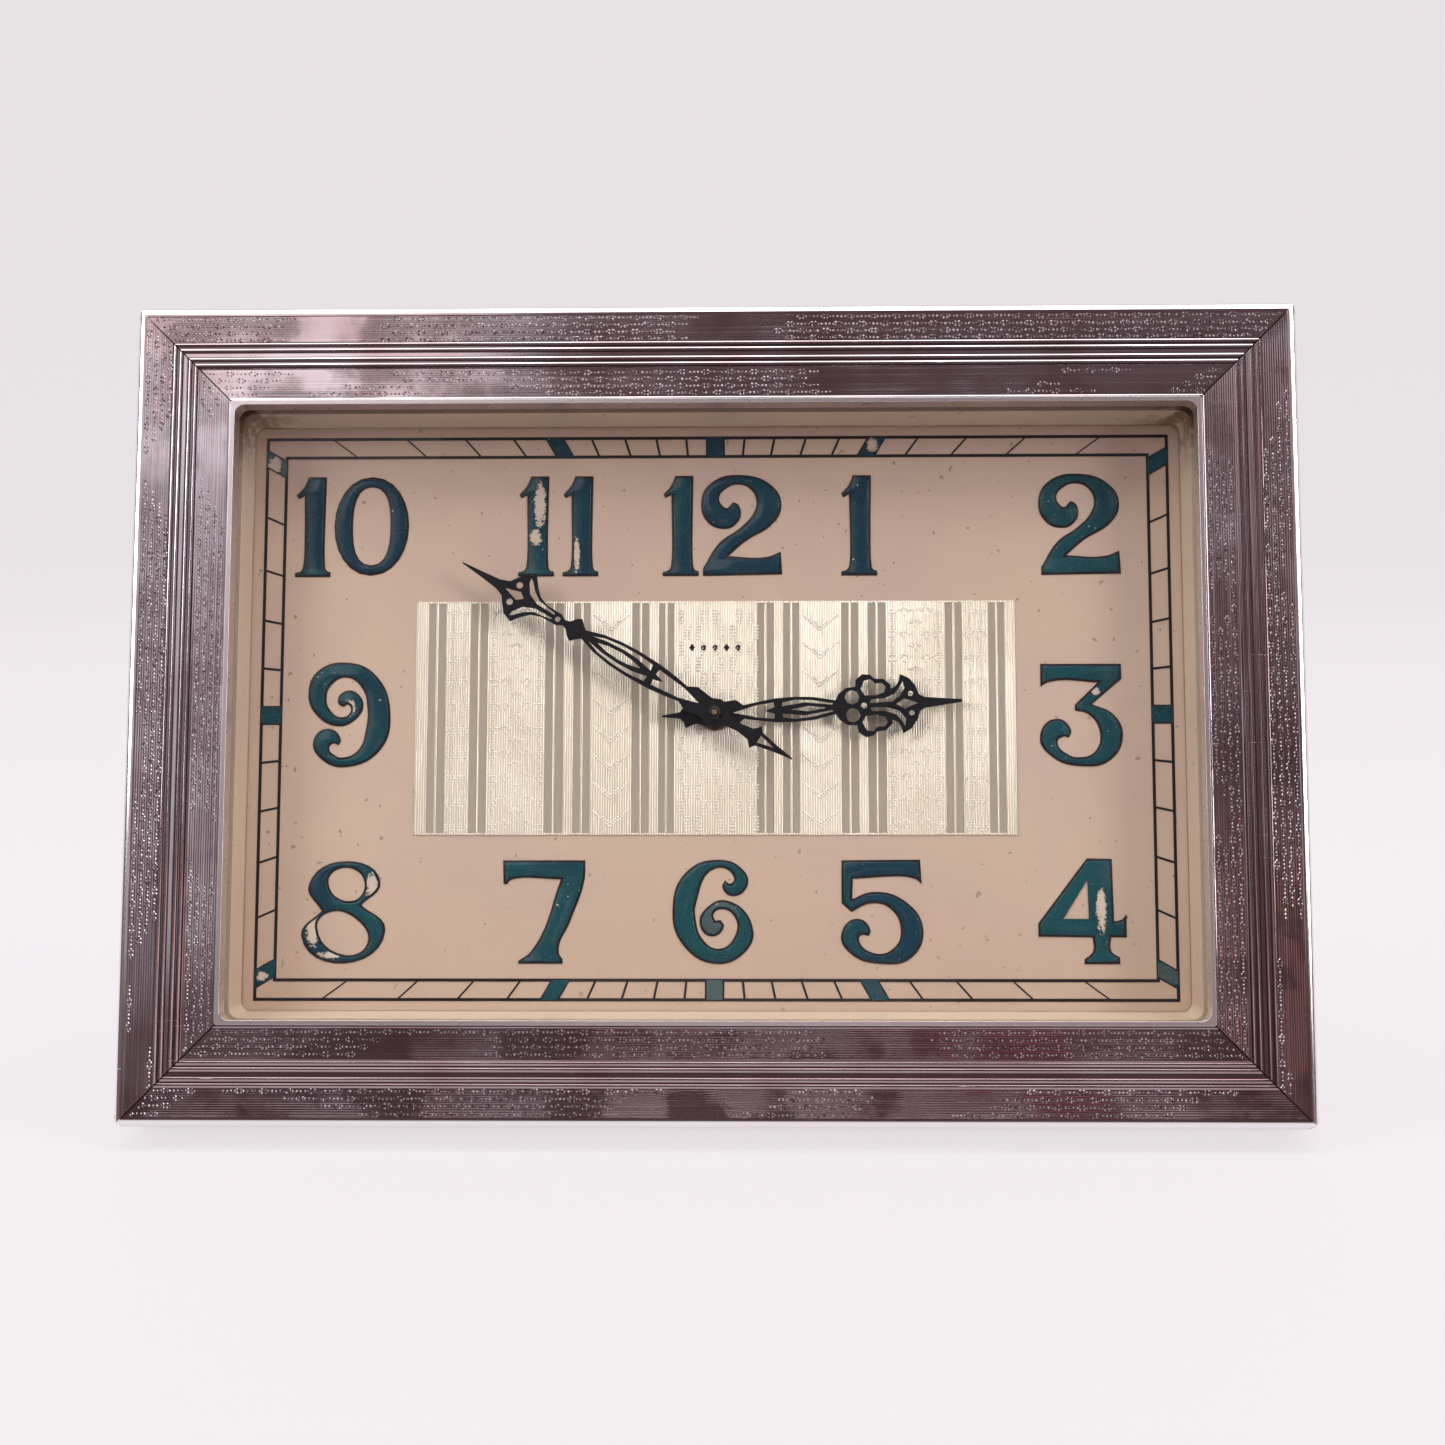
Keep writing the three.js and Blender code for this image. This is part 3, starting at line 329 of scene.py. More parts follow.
def engraved_silver():
    """Tarnished silver; fine turned lines and streaks run along every strip, under scratches and wear."""
    f = Finish("engraved_silver", Metallic=1.0)
    at = f.place()
    x, y, z = f.split(at)
    from_side, from_end = HALF_W - x.size(), HALF_H - z.size()
    inward = from_side.least(from_end)
    level = (from_side - from_end).between(-0.02, 0.02)  # 1 on the top and bottom strips
    lines = (inward * (math.tau / LINE_PITCH)).wave()
    front = y.between(1.2, 0.6)
    (outer_start, outer_end), (inner_start, inner_end) = BAND_ENDS
    outer = inward.between(outer_start - 0.1, outer_start) * inward.between(outer_end + 0.1, outer_end)
    inner = inward.between(inner_start - 0.1, inner_start) * inward.between(inner_end + 0.1, inner_end)
    band = outer.most(inner) * front
    # streaks keep their tone along a strip and change quickly across it
    along_x = f.noise(f.stretch(at, (0.02, 0.02, 2.6)), 1.0, 3, 0.7)
    along_z = f.noise(f.stretch(at, (2.6, 0.02, 0.02)), 1.0, 3, 0.7)
    streaks = (along_z + (along_x - along_z) * level).between(0.34, 0.68)
    worn = f.noise(at, 0.07, 4, 0.6).between(0.40, 0.60)
    scratches = f.scratched(at, 0.45, 0.69).most(f.scratched(at, -0.85, 0.70))
    scratches = scratches.most(f.scratched(at, 1.35, 0.71))
    grain = f.noise(at, 1.8, 4)
    tone = f.noise(at, 0.04, 3, 0.6)
    colour = f.mix(tone.between(0.38, 0.64), (0.60, 0.55, 0.58, 1), (0.46, 0.35, 0.36, 1))
    colour = f.mix(band * (1 - streaks) * (1 - worn * 0.5) * 0.4, colour, (0.20, 0.15, 0.16, 1))
    colour = f.mix(band * lines.between(0.1, 0.9) * (1 - worn) * 0.35, colour, (0.14, 0.10, 0.11, 1))
    # painted highlight: the brightest streaks in the engraved bands are made paler
    colour = f.mix(band * streaks.between(0.75, 1.0) * 0.35, colour, (0.84, 0.81, 0.84, 1))
    # tarnish lies in the grooves beside the four reeds
    beside = None
    for ridge in RIDGES:
        groove = ((inward - ridge).size() - GROOVE).size().between(0.16, 0.05)
        beside = groove if beside is None else beside.most(groove)
    colour = f.mix(beside * 0.85, colour, (0.06, 0.04, 0.045, 1))
    # the foot of the frame and its right side are darker: partly real tarnish, partly a painted dark reflection
    tarnish_and_dark_reflection = (z.between(-44, -50) * level * 0.55).most(x.between(72, 80) * (1 - level) * 0.4) * front
    colour = f.mix(tarnish_and_dark_reflection, colour, (0.20, 0.115, 0.12, 1))
    # the outer edge and the plain sides are painted brighter: partly silver kept bright by handling, partly a
    # painted highlight
    colour = f.mix(((1 - front) * 0.7).most(inward.between(1.3, 0.8) * 0.9), colour, (0.93, 0.91, 0.92, 1))
    colour = f.mix(scratches * 0.5, colour, (0.80, 0.76, 0.78, 1))
    rough = 0.085 + band * (1 - worn) * 0.09 + streaks * 0.03 + grain * 0.03 + scratches * 0.1
    f.set(Base_Color=colour, Roughness=rough)
    height = band * lines * (0.3 - worn * 0.22) + streaks * 0.1 - scratches * 0.15 + grain * 0.05
    return f.bump(height, 0.02).material


def figured_silver():
    """The struck figures: dark tarnished silver and bright silver, mixed by a fine grain."""
    f = Finish("figured_silver", Metallic=1.0)
    grain = f.noise(f.place(), 2.2, 3)
    colour = f.mix(grain.between(0.4, 0.6), (0.10, 0.07, 0.08, 1), (0.62, 0.56, 0.58, 1))
    f.set(Base_Color=colour, Roughness=0.16 + grain * 0.12)
    return f.material


def plain_silver():
    f = Finish("plain_silver", Metallic=1.0)
    at = f.place()
    grain = f.noise(at, 0.9, 4)
    colour = f.mix(grain, (0.92, 0.90, 0.90, 1), (0.76, 0.72, 0.73, 1))
    f.set(Base_Color=colour, Roughness=0.24 + grain * 0.1)
    return f.bump(grain, 0.004).material


def silvered(name, stained):
    """Matt champagne silvering with soft mottling.

    Where it is stained it has browned in the top corners; along the foot of the flange it is darker and browner.
    """
    f = Finish(name, Metallic=0.25, Specular_IOR_Level=0.4)
    at = f.place()
    x, y, z = f.split(at)
    cloud, fine = f.noise(at, 0.045, 4, 0.6), f.noise(at, 5.0, 2)
    speck = f.noise(at, 0.8, 2, 0.4).between(0.715, 0.74)
    colour = f.mix(cloud.between(0.35, 0.65), (0.68, 0.505, 0.405, 1), (0.72, 0.545, 0.405, 1))
    colour = f.mix(fine.between(0.3, 0.8) * 0.25, colour, (0.74, 0.61, 0.53, 1))
    colour = f.mix(speck * 0.6, colour, (0.22, 0.15, 0.11, 1))
    colour = f.mix(z.between(-12, -46) * 0.45, colour, (0.60, 0.43, 0.31, 1))
    if stained:
        colour = f.mix(0.35, colour, (0.60, 0.54, 0.42, 1))
        corner = (x.size() - HALF_W + RAIL).between(-13, 0) * z.between(36, 47)
        stain = corner * f.noise(at, 0.3, 4, 0.65).between(0.38, 0.58)
        colour = f.mix(stain * 0.9, colour, (0.16, 0.08, 0.04, 1))
        # darker and browner along the foot of the flange, where it meets the dial
        foot = y.between(8.2, 8.8) * (cloud.between(0.3, 0.6) * 0.5 + 0.4)
        colour = f.mix(foot, colour, (0.26, 0.15, 0.08, 1))
    f.set(Base_Color=colour, Roughness=0.42 + fine * 0.12)
    return f.bump(fine + cloud, 0.02).material


def turned_panel():
    """Cream silver under fine upright turning."""
    f = Finish("turned_panel", Metallic=0.55)
    at = f.place()
    x, _, _ = f.split(at)
    lines = (x * (math.tau / PANEL_PITCH)).wave()
    cloud = f.noise(at, 0.05, 3)
    cells = f.noise(f.stretch(at, (1, 1, 0.1)), 1.4, 2)
    colour = f.mix(cloud.between(0.35, 0.65), (0.84, 0.77, 0.64, 1), (0.74, 0.66, 0.53, 1))
    colour = f.mix(lines.between(0.1, 1.0) * 0.45, colour, (0.42, 0.36, 0.27, 1))
    f.set(Base_Color=colour, Roughness=0.28 + cells * 0.14)
    return f.bump(lines, 0.05, 0.8).material


def panel_flat():
    """Darker plain silvering between the turned bands."""
    f = Finish("panel_flat", Metallic=0.35)
    grain = f.noise(f.stretch(f.place(), (4, 1, 0.3)), 1.0, 3)
    colour = f.mix(grain, (0.46, 0.40, 0.31, 1), (0.57, 0.51, 0.41, 1))
    f.set(Base_Color=colour, Roughness=0.38 + grain * 0.15)
    return f.bump(grain, 0.02).material


def bright_silvering():
    """Where the figures stand up from the panel they are polished."""
    f = Finish("bright_silvering", Metallic=0.3)
    grain = f.noise(f.place(), 1.5, 2)
    colour = f.mix(grain, (0.98, 0.95, 0.87, 1), (0.88, 0.83, 0.72, 1))
    f.set(Base_Color=colour, Roughness=0.25 + grain * 0.1)
    return f.material


def enamel():
    """Petrol-blue enamel; it has flaked off to the silvering in some numerals."""
    f = Finish("petrol_enamel", Metallic=0.0, Coat_Weight=0.3)
    at = f.place()
    x, _, z = f.split(at)
    ragged = (f.noise(at, 2.3, 5, 0.8) - 0.5) * 6
    flaked = spots(x, z, (
        (-27.7, 33.5, 0.9, 3.4), (-28.3, 28.2, 0.9, 1.2), (-21.8, 25.5, 0.45, 2.6),
        (-53.3, -26.5, 0.9, 1.6), (-62.2, -33.6, 1.0, 2.3), (-59.5, -37.3, 1.7, 0.5),
        (59.5, -30.3, 0.75, 3.3), (-57.2, 1.2, 0.9, 1.1), (59.2, 3.6, 0.6, 0.6),
        (24.8, 42.9, 0.9, 1.1), (-69.9, 40.0, 1.0, 1.4), (-69.9, -40.6, 0.8, 0.7)), ragged)
    pits = f.noise(at, 1.5, 2, 0.5).between(0.745, 0.76)
    flaked = flaked.most(pits)
    cloud = f.noise(at, 0.06, 3).between(0.38, 0.62)
    colour = f.mix(cloud, (0.0025, 0.038, 0.064, 1), (0.004, 0.068, 0.080, 1))
    faded = ((0.3, -31.5, 3.4, 3.4), (0.0, -42.6, 2.0, 2.0), (69.6, -40.0, 2.0, 2.0))
    grey = spots(x, z, faded, ragged * 0.4)
    colour = f.mix(grey * 0.6, colour, (0.10, 0.13, 0.13, 1))
    colour = f.mix(flaked, colour, (0.66, 0.55, 0.44, 1))
    rough = f.noise(at, 2.4, 3)
    f.set(Base_Color=colour, Roughness=0.2 + rough * 0.12 + flaked * 0.35)
    return f.bump(rough * 0.2 - flaked, 0.09).material


def black_line():
    """Black enamel of the outlines and the minute track."""
    f = Finish("black_line", Coat_Weight=0.2)
    rough = f.noise(f.place(), 3, 2)
    colour = f.mix(rough, (0.004, 0.004, 0.006, 1), (0.012, 0.011, 0.013, 1))
    f.set(Base_Color=colour, Roughness=0.25 + rough * 0.2)
    return f.bump(rough, 0.02).material


def blued():
    """Steel blued nearly to black."""
    f = Finish("blued_steel", Metallic=0.7)
    rough = f.noise(f.place(), 2.5, 3)
    colour = f.mix(rough, (0.010, 0.010, 0.014, 1), (0.030, 0.028, 0.032, 1))
    f.set(Base_Color=colour, Roughness=0.3 + rough * 0.25)
    return f.bump(rough, 0.02).material


def metal(name, dark, light, rough):
    """Brushed metal with soft clouds of wear."""
    f = Finish(name, Metallic=1.0)
    at = f.place()
    grain = f.noise(f.stretch(at, (1, 1, 30)), 0.7, 3)
    cloud = f.noise(at, 0.25, 3)
    colour = f.mix(grain * 0.6 + cloud * 0.4, (*dark, 1), (*light, 1))
    f.set(Base_Color=colour, Roughness=rough + grain * 0.14 + cloud * 0.08)
    return f.bump(grain, 0.015).material


def walnut():
    f = Finish("walnut", Coat_Weight=0.15)
    at = f.place()
    bend = f.noise(at, 0.03, 2)
    figure = f.noise(f.stretch(at, (0.22, 0.6, 0.016)), 1.0, 5, 0.6) + bend * 0.3
    pores = f.noise(f.stretch(at, (5, 5, 0.25)), 1.0, 2).between(0.6, 0.72)
    colour = f.mix(figure.between(0.45, 0.85), (0.075, 0.030, 0.013, 1), (0.23, 0.105, 0.048, 1))
    colour = f.mix(pores * 0.6, colour, (0.03, 0.012, 0.006, 1))
    f.set(Base_Color=colour, Roughness=0.34 + pores * 0.25)
    return f.bump(figure * 0.3 - pores, 0.05).material


def felt():
    f = Finish("felt")
    fuzz = f.noise(f.place(), 4, 5, 0.8)
    f.set(Base_Color=f.mix(fuzz, (0.010, 0.009, 0.008, 1), (0.05, 0.042, 0.036, 1)), Roughness=0.95)
    return f.bump(fuzz, 0.25).material


def clear_glass():
    return Finish("clear_glass", Base_Color=(0.03, 0.035, 0.035, 1), Roughness=0.02, Alpha=0.05).material


ENGRAVED, FIGURES, PLAIN = engraved_silver(), figured_silver(), plain_silver()
DIAL, FLANGE = silvered("silvered_dial", False), silvered("silvered_flange", True)
PANEL, FLAT, BRIGHT = turned_panel(), panel_flat(), bright_silvering()
ENAMEL, BLACK, BLUED = enamel(), black_line(), blued()
BRASS = metal("brass", (0.42, 0.28, 0.11), (0.72, 0.53, 0.25), 0.22)
STEEL = metal("steel", (0.32, 0.32, 0.34), (0.60, 0.60, 0.62), 0.2)
WALNUT, FELT, GLASS = walnut(), felt(), clear_glass()
FINISH_OF_SLOT = {
    "silver": PLAIN, "silvered_dial": DIAL, "glass": GLASS, "walnut": WALNUT, "brass": BRASS,
    "steel": STEEL, "blued_steel": BLUED, "enamel": ENAMEL, "felt": FELT}


# ---- camera ----
def aimed(place, towards, roll=0.0):
    """Where a camera or lamp stands, looking along a direction."""
    turn = Vector(towards).to_track_quat("-Z", "Y").to_matrix().to_4x4()
    return Matrix.Translation(place) @ turn @ Matrix.Rotation(math.radians(roll), 4, "Z")


def set_camera(place, towards, roll, lens):
    data = bpy.data.cameras.new("camera")
    data.lens, data.sensor_width, data.clip_start = lens, 36.0, 0.01
    camera = bpy.data.objects.new("camera", data)
    bpy.context.scene.collection.objects.link(camera)
    camera.matrix_world = aimed(place, towards, roll)
    bpy.context.scene.camera = camera


set_camera((0.0089, -0.3642, 0.0950), (-0.0219, 0.9955, -0.0925), -0.2, 56.4)


# ---- every frame node gets its finish ----
SLOT_OF = {part["node"]: part["material_slot"] for part in frame["record"]["subparts"]}
BODY_OF = {n: body for body, nodes in frame["record"]["behaviour"]["bodies"].items() for n in nodes}
for node, piece in frame["nodes"].items():
    piece.data.materials.clear()
    piece.data.materials.append(FINISH_OF_SLOT[SLOT_OF[node]])
frame["nodes"]["dial_surround"].data.materials[0] = FLANGE


def refine(node, width, segments=2, material=None, angle=30):
    """A node's own shape with its edges eased."""
    piece = frame["nodes"][node].copy()
    piece.data = piece.data.copy()
    for key in list(piece.keys()):
        del piece[key]
    piece.parent = None
    bpy.context.scene.collection.objects.link(piece)
    edit(piece)
    bpy.ops.mesh.remove_doubles(threshold=1e-6)
    bpy.ops.mesh.dissolve_limited(angle_limit=math.radians(1))
    done()
    soften(piece, width * MM, segments, angle)
    smooth(piece, 40)
    modify(piece, "WEIGHTED_NORMAL", keep_sharp=True)
    slot = SLOT_OF[node]
    return fit(piece, BODY_OF[node], slot, material or FINISH_OF_SLOT[slot], node, name=f"{node}_fine")


# ---- silver strips ----
ARC_INSIDE = EDGE_ROUND - 0.04  # radius of the rounded outer edge between its ends
REED = 0.15  # height of a reed above the grooves beside it
SUNK = 0.07  # the engraved bands lie this much under the strip's face


def slope(inward):
    """Depth of a strip's face, which rises towards the sight."""
    return -SIGHT_RISE * max(inward - EDGE_ROUND, 0) / (RAIL - EDGE_ROUND)


def rail_section():
    """Section of a strip: (inward, depth), along the engraved front and back inside the sheet."""
    arc = [(0, EDGE_ROUND), (EDGE_ROUND, 0)]
    for a in (math.radians(degrees) for degrees in range(10, 90, 10)):
        arc.append((EDGE_ROUND - ARC_INSIDE * math.cos(a), EDGE_ROUND - ARC_INSIDE * math.sin(a)))
    points = [*arc, (1.45, slope(1.45))]
    points += [(s, slope(s) + SUNK) for s in BAND_ENDS[0]]
    for ridge in RIDGES:
        for step in range(-3, 4):
            s = ridge + step * GROOVE / 3
            points.append((s, slope(s) + REED * (1 - math.cos(step * math.pi / 6))))
    points += [(10.05, slope(10.05))] + [(s, slope(s) + SUNK) for s in BAND_ENDS[1]]
    points += [(RAIL - 0.15, slope(RAIL - 0.15)), (RAIL, slope(RAIL))]
    points.sort(key=lambda point: point[0])
    return [(0, RETURN_BACK), *points, (RAIL, SILVER - SIGHT_RISE), (EDGE_ROUND, SILVER),
            (SILVER, EDGE_ROUND), (SILVER, RETURN_BACK)]


MITRE_GAP = 0.13
CORNER, CORNER_CUT = 1.3, 0.4  # the outer corners are eased over this run, by this much
FIGURE_PITCH = 3.7  # from one rosette to the next along a strip
FIGURE_BEAD, FIGURE_HEIGHT = 0.23, 0.1
WORN_AWAY = -0.22  # a figure is left out where the wear noise lies below this
# how far in each row lies, and by what part of the pitch it is shifted along
FIGURE_ROWS = ((2.0, 0), (3.2, 0.5), (4.3, 0), (5.4, 0.5), (10.9, 0), (12.0, 0.5), (13.1, 0), (14.2, 0.5))
# beads of a rosette and of the chain that leads to the next: (along, inward)
ROSETTE = ((-0.62, 0), (0.62, 0), (-0.3, 0.26), (0.3, 0.26), (-0.3, -0.26), (0.3, -0.26),
           (1.25, 0), (1.85, 0), (2.45, 0))


def beads_at(places, radius, height, sides=4):
    """Small raised beads: one low dome that points forwards, copied to every place."""
    fresh()
    bpy.ops.mesh.primitive_cone_add(
        vertices=sides, radius1=radius, radius2=radius * 0.4, depth=height, rotation=(math.pi / 2, 0, 0))
    bpy.ops.object.transform_apply(location=True, rotation=True, scale=True)
    seed = bpy.context.object
    corners = [v.co.copy() for v in seed.data.vertices]
    faces = [tuple(p.vertices) for p in seed.data.polygons]
    bpy.data.objects.remove(seed)
    all_corners = [corner + place for place in places for corner in corners]
    all_faces = [tuple(i + k * len(corners) for i in face) for k in range(len(places)) for face in faces]
    mesh = bpy.data.meshes.new("beads")
    mesh.from_pydata(all_corners, [], all_faces)
    piece = bpy.data.objects.new("beads", mesh)
    bpy.context.scene.collection.objects.link(piece)
    return piece


def strip_figures(length, quarter):
    """Chains of small rosettes along a strip; they are worn away in places."""
    places = []
    for inward, shift in FIGURE_ROWS:
        for i in range(int(length / FIGURE_PITCH) + 1):
            middle = (i + shift) * FIGURE_PITCH
            worn = noise.noise((middle * 0.045, inward * 0.12, quarter * 7.3))
            for along, over in ROSETTE:
                run, s = middle + along, inward + over
                if worn > WORN_AWAY and s + 0.5 < run < length - s - 0.5:
                    places.append(Vector((run, slope(s) + SUNK - 0.03, -s)))
    return beads_at(places, FIGURE_BEAD, FIGURE_HEIGHT)


def silver_strip(side, length, reach, quarter):
    """A mitred strip along one side: made as the top one, then turned by quarters."""
    piece = bar(rail_section(), (CORNER, length - 2 * CORNER, CORNER))
    for vertex in piece.data.vertices:
        from_end = min(vertex.co.x, length - vertex.co.x)
        if from_end < CORNER / 2:
            vertex.co.z = min(vertex.co.z, -CORNER_CUT)
        inset = -vertex.co.z + MITRE_GAP + from_end
        vertex.co.x = inset if vertex.co.x < length / 2 else length - inset
    turn = Matrix.Rotation(quarter * math.pi / 2, 4, "Y")
    figures = strip_figures(length, quarter)
    for part in (piece, figures):
        part.data.transform(turn @ Matrix.Translation((-length / 2, 0, reach)))
    smooth(piece, 12)
    fit(lean(figures), "root", "silver", FIGURES, name=f"engraved_figures_{side}")
    return fit(lean(piece), "root", "silver", ENGRAVED, f"rail_{side}", name=f"engraved_strip_{side}")


silver_strip("top", 2 * HALF_W, HALF_H, 0)
silver_strip("right", 2 * HALF_H, HALF_W, 1)
silver_strip("bottom", 2 * HALF_W, HALF_H, 2)
silver_strip("left", 2 * HALF_H, HALF_W, 3)
refine("sight_bezel", 0.33, 4, PLAIN)

# ---- numerals ----
NUMERALS = {  # outlines of each figure from its left foot: (x, z, corner or curve)
    "0": [
        [(5.9, 16.0, "s"), (11.8, 8.1, "s"), (5.9, 0.2, "s"), (0, 8.1, "s")],
        [(5.9, 14.4, "s"), (2.9, 8.1, "s"), (5.9, 1.8, "s"), (8.9, 8.1, "s")]],
    "1": [
        [(1.9, 16.0, "c"), (4.7, 16.0, "c"), (4.7, 1.9, "s"), (4.95, 1.0, "s"), (5.6, 0.7, "c"),
         (5.6, 0, "c"), (0, 0, "c"), (0, 0.6, "c"), (1.0, 1.0, "s"), (1.3, 1.9, "s"),
         (1.3, 13.0, "c"), (0.35, 12.5, "c"), (0.05, 13.1, "c"), (1.2, 14.4, "s")]],
    "2": [
        [(0, 11.8, "s"), (1.5, 14.8, "s"), (6.4, 16.1, "s"), (11.3, 14.2, "s"), (12.6, 11.3, "s"),
         (11.5, 8.6, "s"), (6.8, 5.4, "s"), (4.2, 3.1, "c"), (10.4, 3.0, "s"), (12.5, 3.8, "c"),
         (12.7, 0.2, "c"), (0.3, 0, "c"), (0.3, 1.2, "c"), (2.9, 5.3, "s"), (6.1, 7.6, "s"),
         (8.3, 10.1, "s"), (8.7, 12.0, "s"), (7.7, 13.9, "s"), (5.8, 14.6, "s"), (3.8, 13.9, "s"),
         (2.8, 12.5, "s"), (3.3, 11.2, "s"), (4.1, 10.8, "s"), (4.6, 11.3, "c"), (5.1, 11.7, "s"),
         (6.2, 10.4, "s"), (5.3, 8.1, "s"), (3.3, 7.5, "s"), (0.9, 8.7, "s")]],
    "3": [
        [(0.2, 16.0, "c"), (12.7, 16.0, "c"), (12.7, 13.7, "c"), (8.1, 9.7, "c"), (11.6, 7.9, "s"),
         (12.8, 4.7, "s"), (10.7, 0.9, "s"), (6.6, 0, "s"), (1.8, 1.5, "s"), (0, 4.6, "s"),
         (2.4, 7.4, "s"), (4.8, 5.7, "s"), (4.5, 4.5, "c"), (3.5, 4.6, "s"), (2.7, 3.8, "s"),
         (4.3, 1.8, "s"), (6.4, 1.4, "s"), (8.5, 2.3, "s"), (9.3, 5.2, "s"), (7.6, 8.1, "s"),
         (5.5, 8.7, "c"), (5.5, 9.6, "c"), (9.1, 13.1, "c"), (1.5, 13.2, "s"), (0.2, 12.5, "c")]],
    "4": [
        [(7.7, 16.2, "c"), (11.5, 16.1, "c"), (11.7, 6.5, "c"), (12.9, 6.8, "s"), (13.6, 7.6, "c"),
         (13.6, 4.1, "c"), (11.2, 4.1, "c"), (11.2, 2.0, "s"), (12.5, 1.0, "c"), (12.5, 0, "c"),
         (7.1, 0, "c"), (7.1, 0.7, "c"), (8.4, 1.9, "s"), (8.4, 4.1, "c"), (0.1, 4.2, "c"),
         (0.1, 6.2, "c")],
        [(8.1, 14.3, "c"), (8.3, 6.5, "c"), (3.2, 6.5, "c")]],
    "5": [
        [(0.1, 15.9, "c"), (12.2, 16.0, "c"), (12.4, 12.3, "c"), (11.4, 13.1, "s"), (1.8, 13.1, "c"),
         (1.7, 9.9, "c"), (4.7, 11.0, "s"), (9.4, 9.9, "s"), (12.6, 5.4, "s"), (10.7, 0.9, "s"),
         (6.2, 0, "s"), (1.4, 1.6, "s"), (0, 4.4, "s"), (2.4, 6.9, "s"), (4.5, 5.1, "s"),
         (4.2, 4.3, "c"), (3.1, 4.4, "s"), (2.7, 3.8, "s"), (5.1, 1.6, "s"), (8.1, 2.4, "s"),
         (9.2, 5.1, "s"), (7.7, 8.4, "s"), (4.7, 9.3, "s"), (1.6, 8.0, "c"), (0.1, 9.3, "c")]],
    "6": [
        [(6.9, 16.0, "s"), (10.8, 14.5, "s"), (11.6, 12.2, "s"), (9.4, 10.4, "s"), (7.7, 11.8, "s"),
         (8.1, 12.8, "c"), (8.9, 12.3, "s"), (9.5, 13.2, "s"), (6.7, 14.7, "s"), (3.6, 9.2, "s"),
         (3.5, 7.2, "s"), (4.9, 3.4, "s"), (7.4, 2.3, "s"), (9.7, 4.4, "s"), (9.7, 7.0, "s"),
         (7.7, 8.4, "s"), (6.3, 7.6, "s"), (6.6, 6.6, "c"), (7.4, 6.7, "c"), (7.9, 5.7, "s"),
         (6.0, 4.2, "s"), (4.2, 6.1, "s"), (5.4, 8.7, "s"), (8.4, 9.7, "s"), (12.4, 5.4, "s"),
         (11.1, 1.7, "s"), (6.4, 0, "s"), (1.4, 3.2, "s"), (0, 8.2, "s"), (1.9, 13.9, "s")]],
    "7": [
        [(0, 15.9, "c"), (12.7, 15.9, "c"), (12.6, 12.9, "s"), (10.5, 6.6, "s"), (8.7, 1.7, "s"),
         (9.3, 0.7, "c"), (9.3, 0, "c"), (2.5, 0, "c"), (2.5, 0.4, "c"), (4.5, 1.9, "s"),
         (9.0, 13.0, "c"), (1.2, 12.9, "s"), (0.6, 12.2, "c"), (0.1, 12.3, "c")]],
    "8": [
        [(6.9, 15.8, "s"), (12.1, 12.6, "s"), (9.2, 9.0, "c"), (13.0, 5.1, "s"), (6.7, 0, "s"),
         (0, 4.2, "s"), (3.1, 8.1, "c"), (1.0, 12.1, "s")],
        [(6.7, 14.8, "s"), (9.7, 12.4, "s"), (7.7, 9.6, "s"), (4.0, 12.6, "s")],
        [(4.0, 7.8, "s"), (2.4, 5.6, "s"), (6.7, 1.3, "s"), (10.3, 3.1, "s"), (8.4, 6.9, "s")]],
    "9": [
        [(6.3, 16.4, "s"), (10.7, 14.2, "s"), (12.9, 8.2, "s"), (11.5, 2.8, "s"), (6.3, 0, "s"),
         (2.5, 1.0, "s"), (0.9, 4.0, "s"), (3.1, 6.0, "s"), (5.2, 4.2, "s"), (4.8, 3.4, "c"),
         (4.1, 3.7, "s"), (3.4, 3.0, "s"), (4.3, 1.8, "s"), (5.9, 1.5, "s"), (8.1, 2.8, "s"),
         (9.1, 5.8, "s"), (9.3, 9.2, "s"), (8.4, 12.4, "s"), (5.9, 14.1, "s"), (3.6, 13.0, "s"),
         (2.8, 10.8, "s"), (3.5, 8.8, "s"), (5.1, 7.8, "s"), (6.5, 8.4, "s"), (6.6, 9.5, "s"),
         (6.1, 9.9, "c"), (5.5, 9.5, "s"), (4.6, 10.4, "s"), (6.1, 12.0, "s"), (8.0, 11.2, "s"),
         (8.6, 9.4, "s"), (7.1, 7.2, "s"), (4.7, 6.4, "s"), (1.3, 8.2, "s"), (0, 11.4, "s"),
         (1.3, 15.0, "s")]],
}
LEFT, RIGHT, TOP, MIDDLE, BOTTOM = -64.0, 50.8, 22.0, -8.1, -38.6
PLACES = {  # numeral: (figure, left, foot) of each of its figures
    1: [("1", 19.8, TOP)],
    2: [("2", RIGHT, TOP)],
    3: [("3", 50.5, MIDDLE)],
    4: [("4", 49.7, BOTTOM)],
    5: [("5", 19.5, BOTTOM)],
    6: [("6", -6.5, BOTTOM)],
    7: [("7", -32.8, BOTTOM)],
    8: [("8", LEFT, BOTTOM)],
    9: [("9", LEFT + 0.3, MIDDLE)],
    10: [("1", -66.3, TOP), ("0", -60.2, TOP)],
    11: [("1", -31.0, TOP), ("1", -24.0, TOP)],
    12: [("1", -8.2, TOP), ("2", -2.2, TOP)]}
OUTLINE = 0.4  # width of the black edge round the enamel
RAISED, FILLED = 0.10, 0.17  # how far the edge and the enamel stand off the dial
for hour, figures in PLACES.items():
    outlines = [[(x + left, z + foot, kind) for x, z, kind in path]
                for figure, left, foot in figures for path in NUMERALS[figure]]
    edge = drawn(outlines, DIAL_FRONT, RAISED, 0.02)
    fill = drawn(outlines, DIAL_FRONT, FILLED, 0.06, -OUTLINE)
    for piece, material, name in ((edge, BLACK, "outline"), (fill, ENAMEL, "enamel")):
        smooth(piece, 50)
        fit(lean(piece), "root", "enamel", material, name=f"numeral_{hour}_{name}")

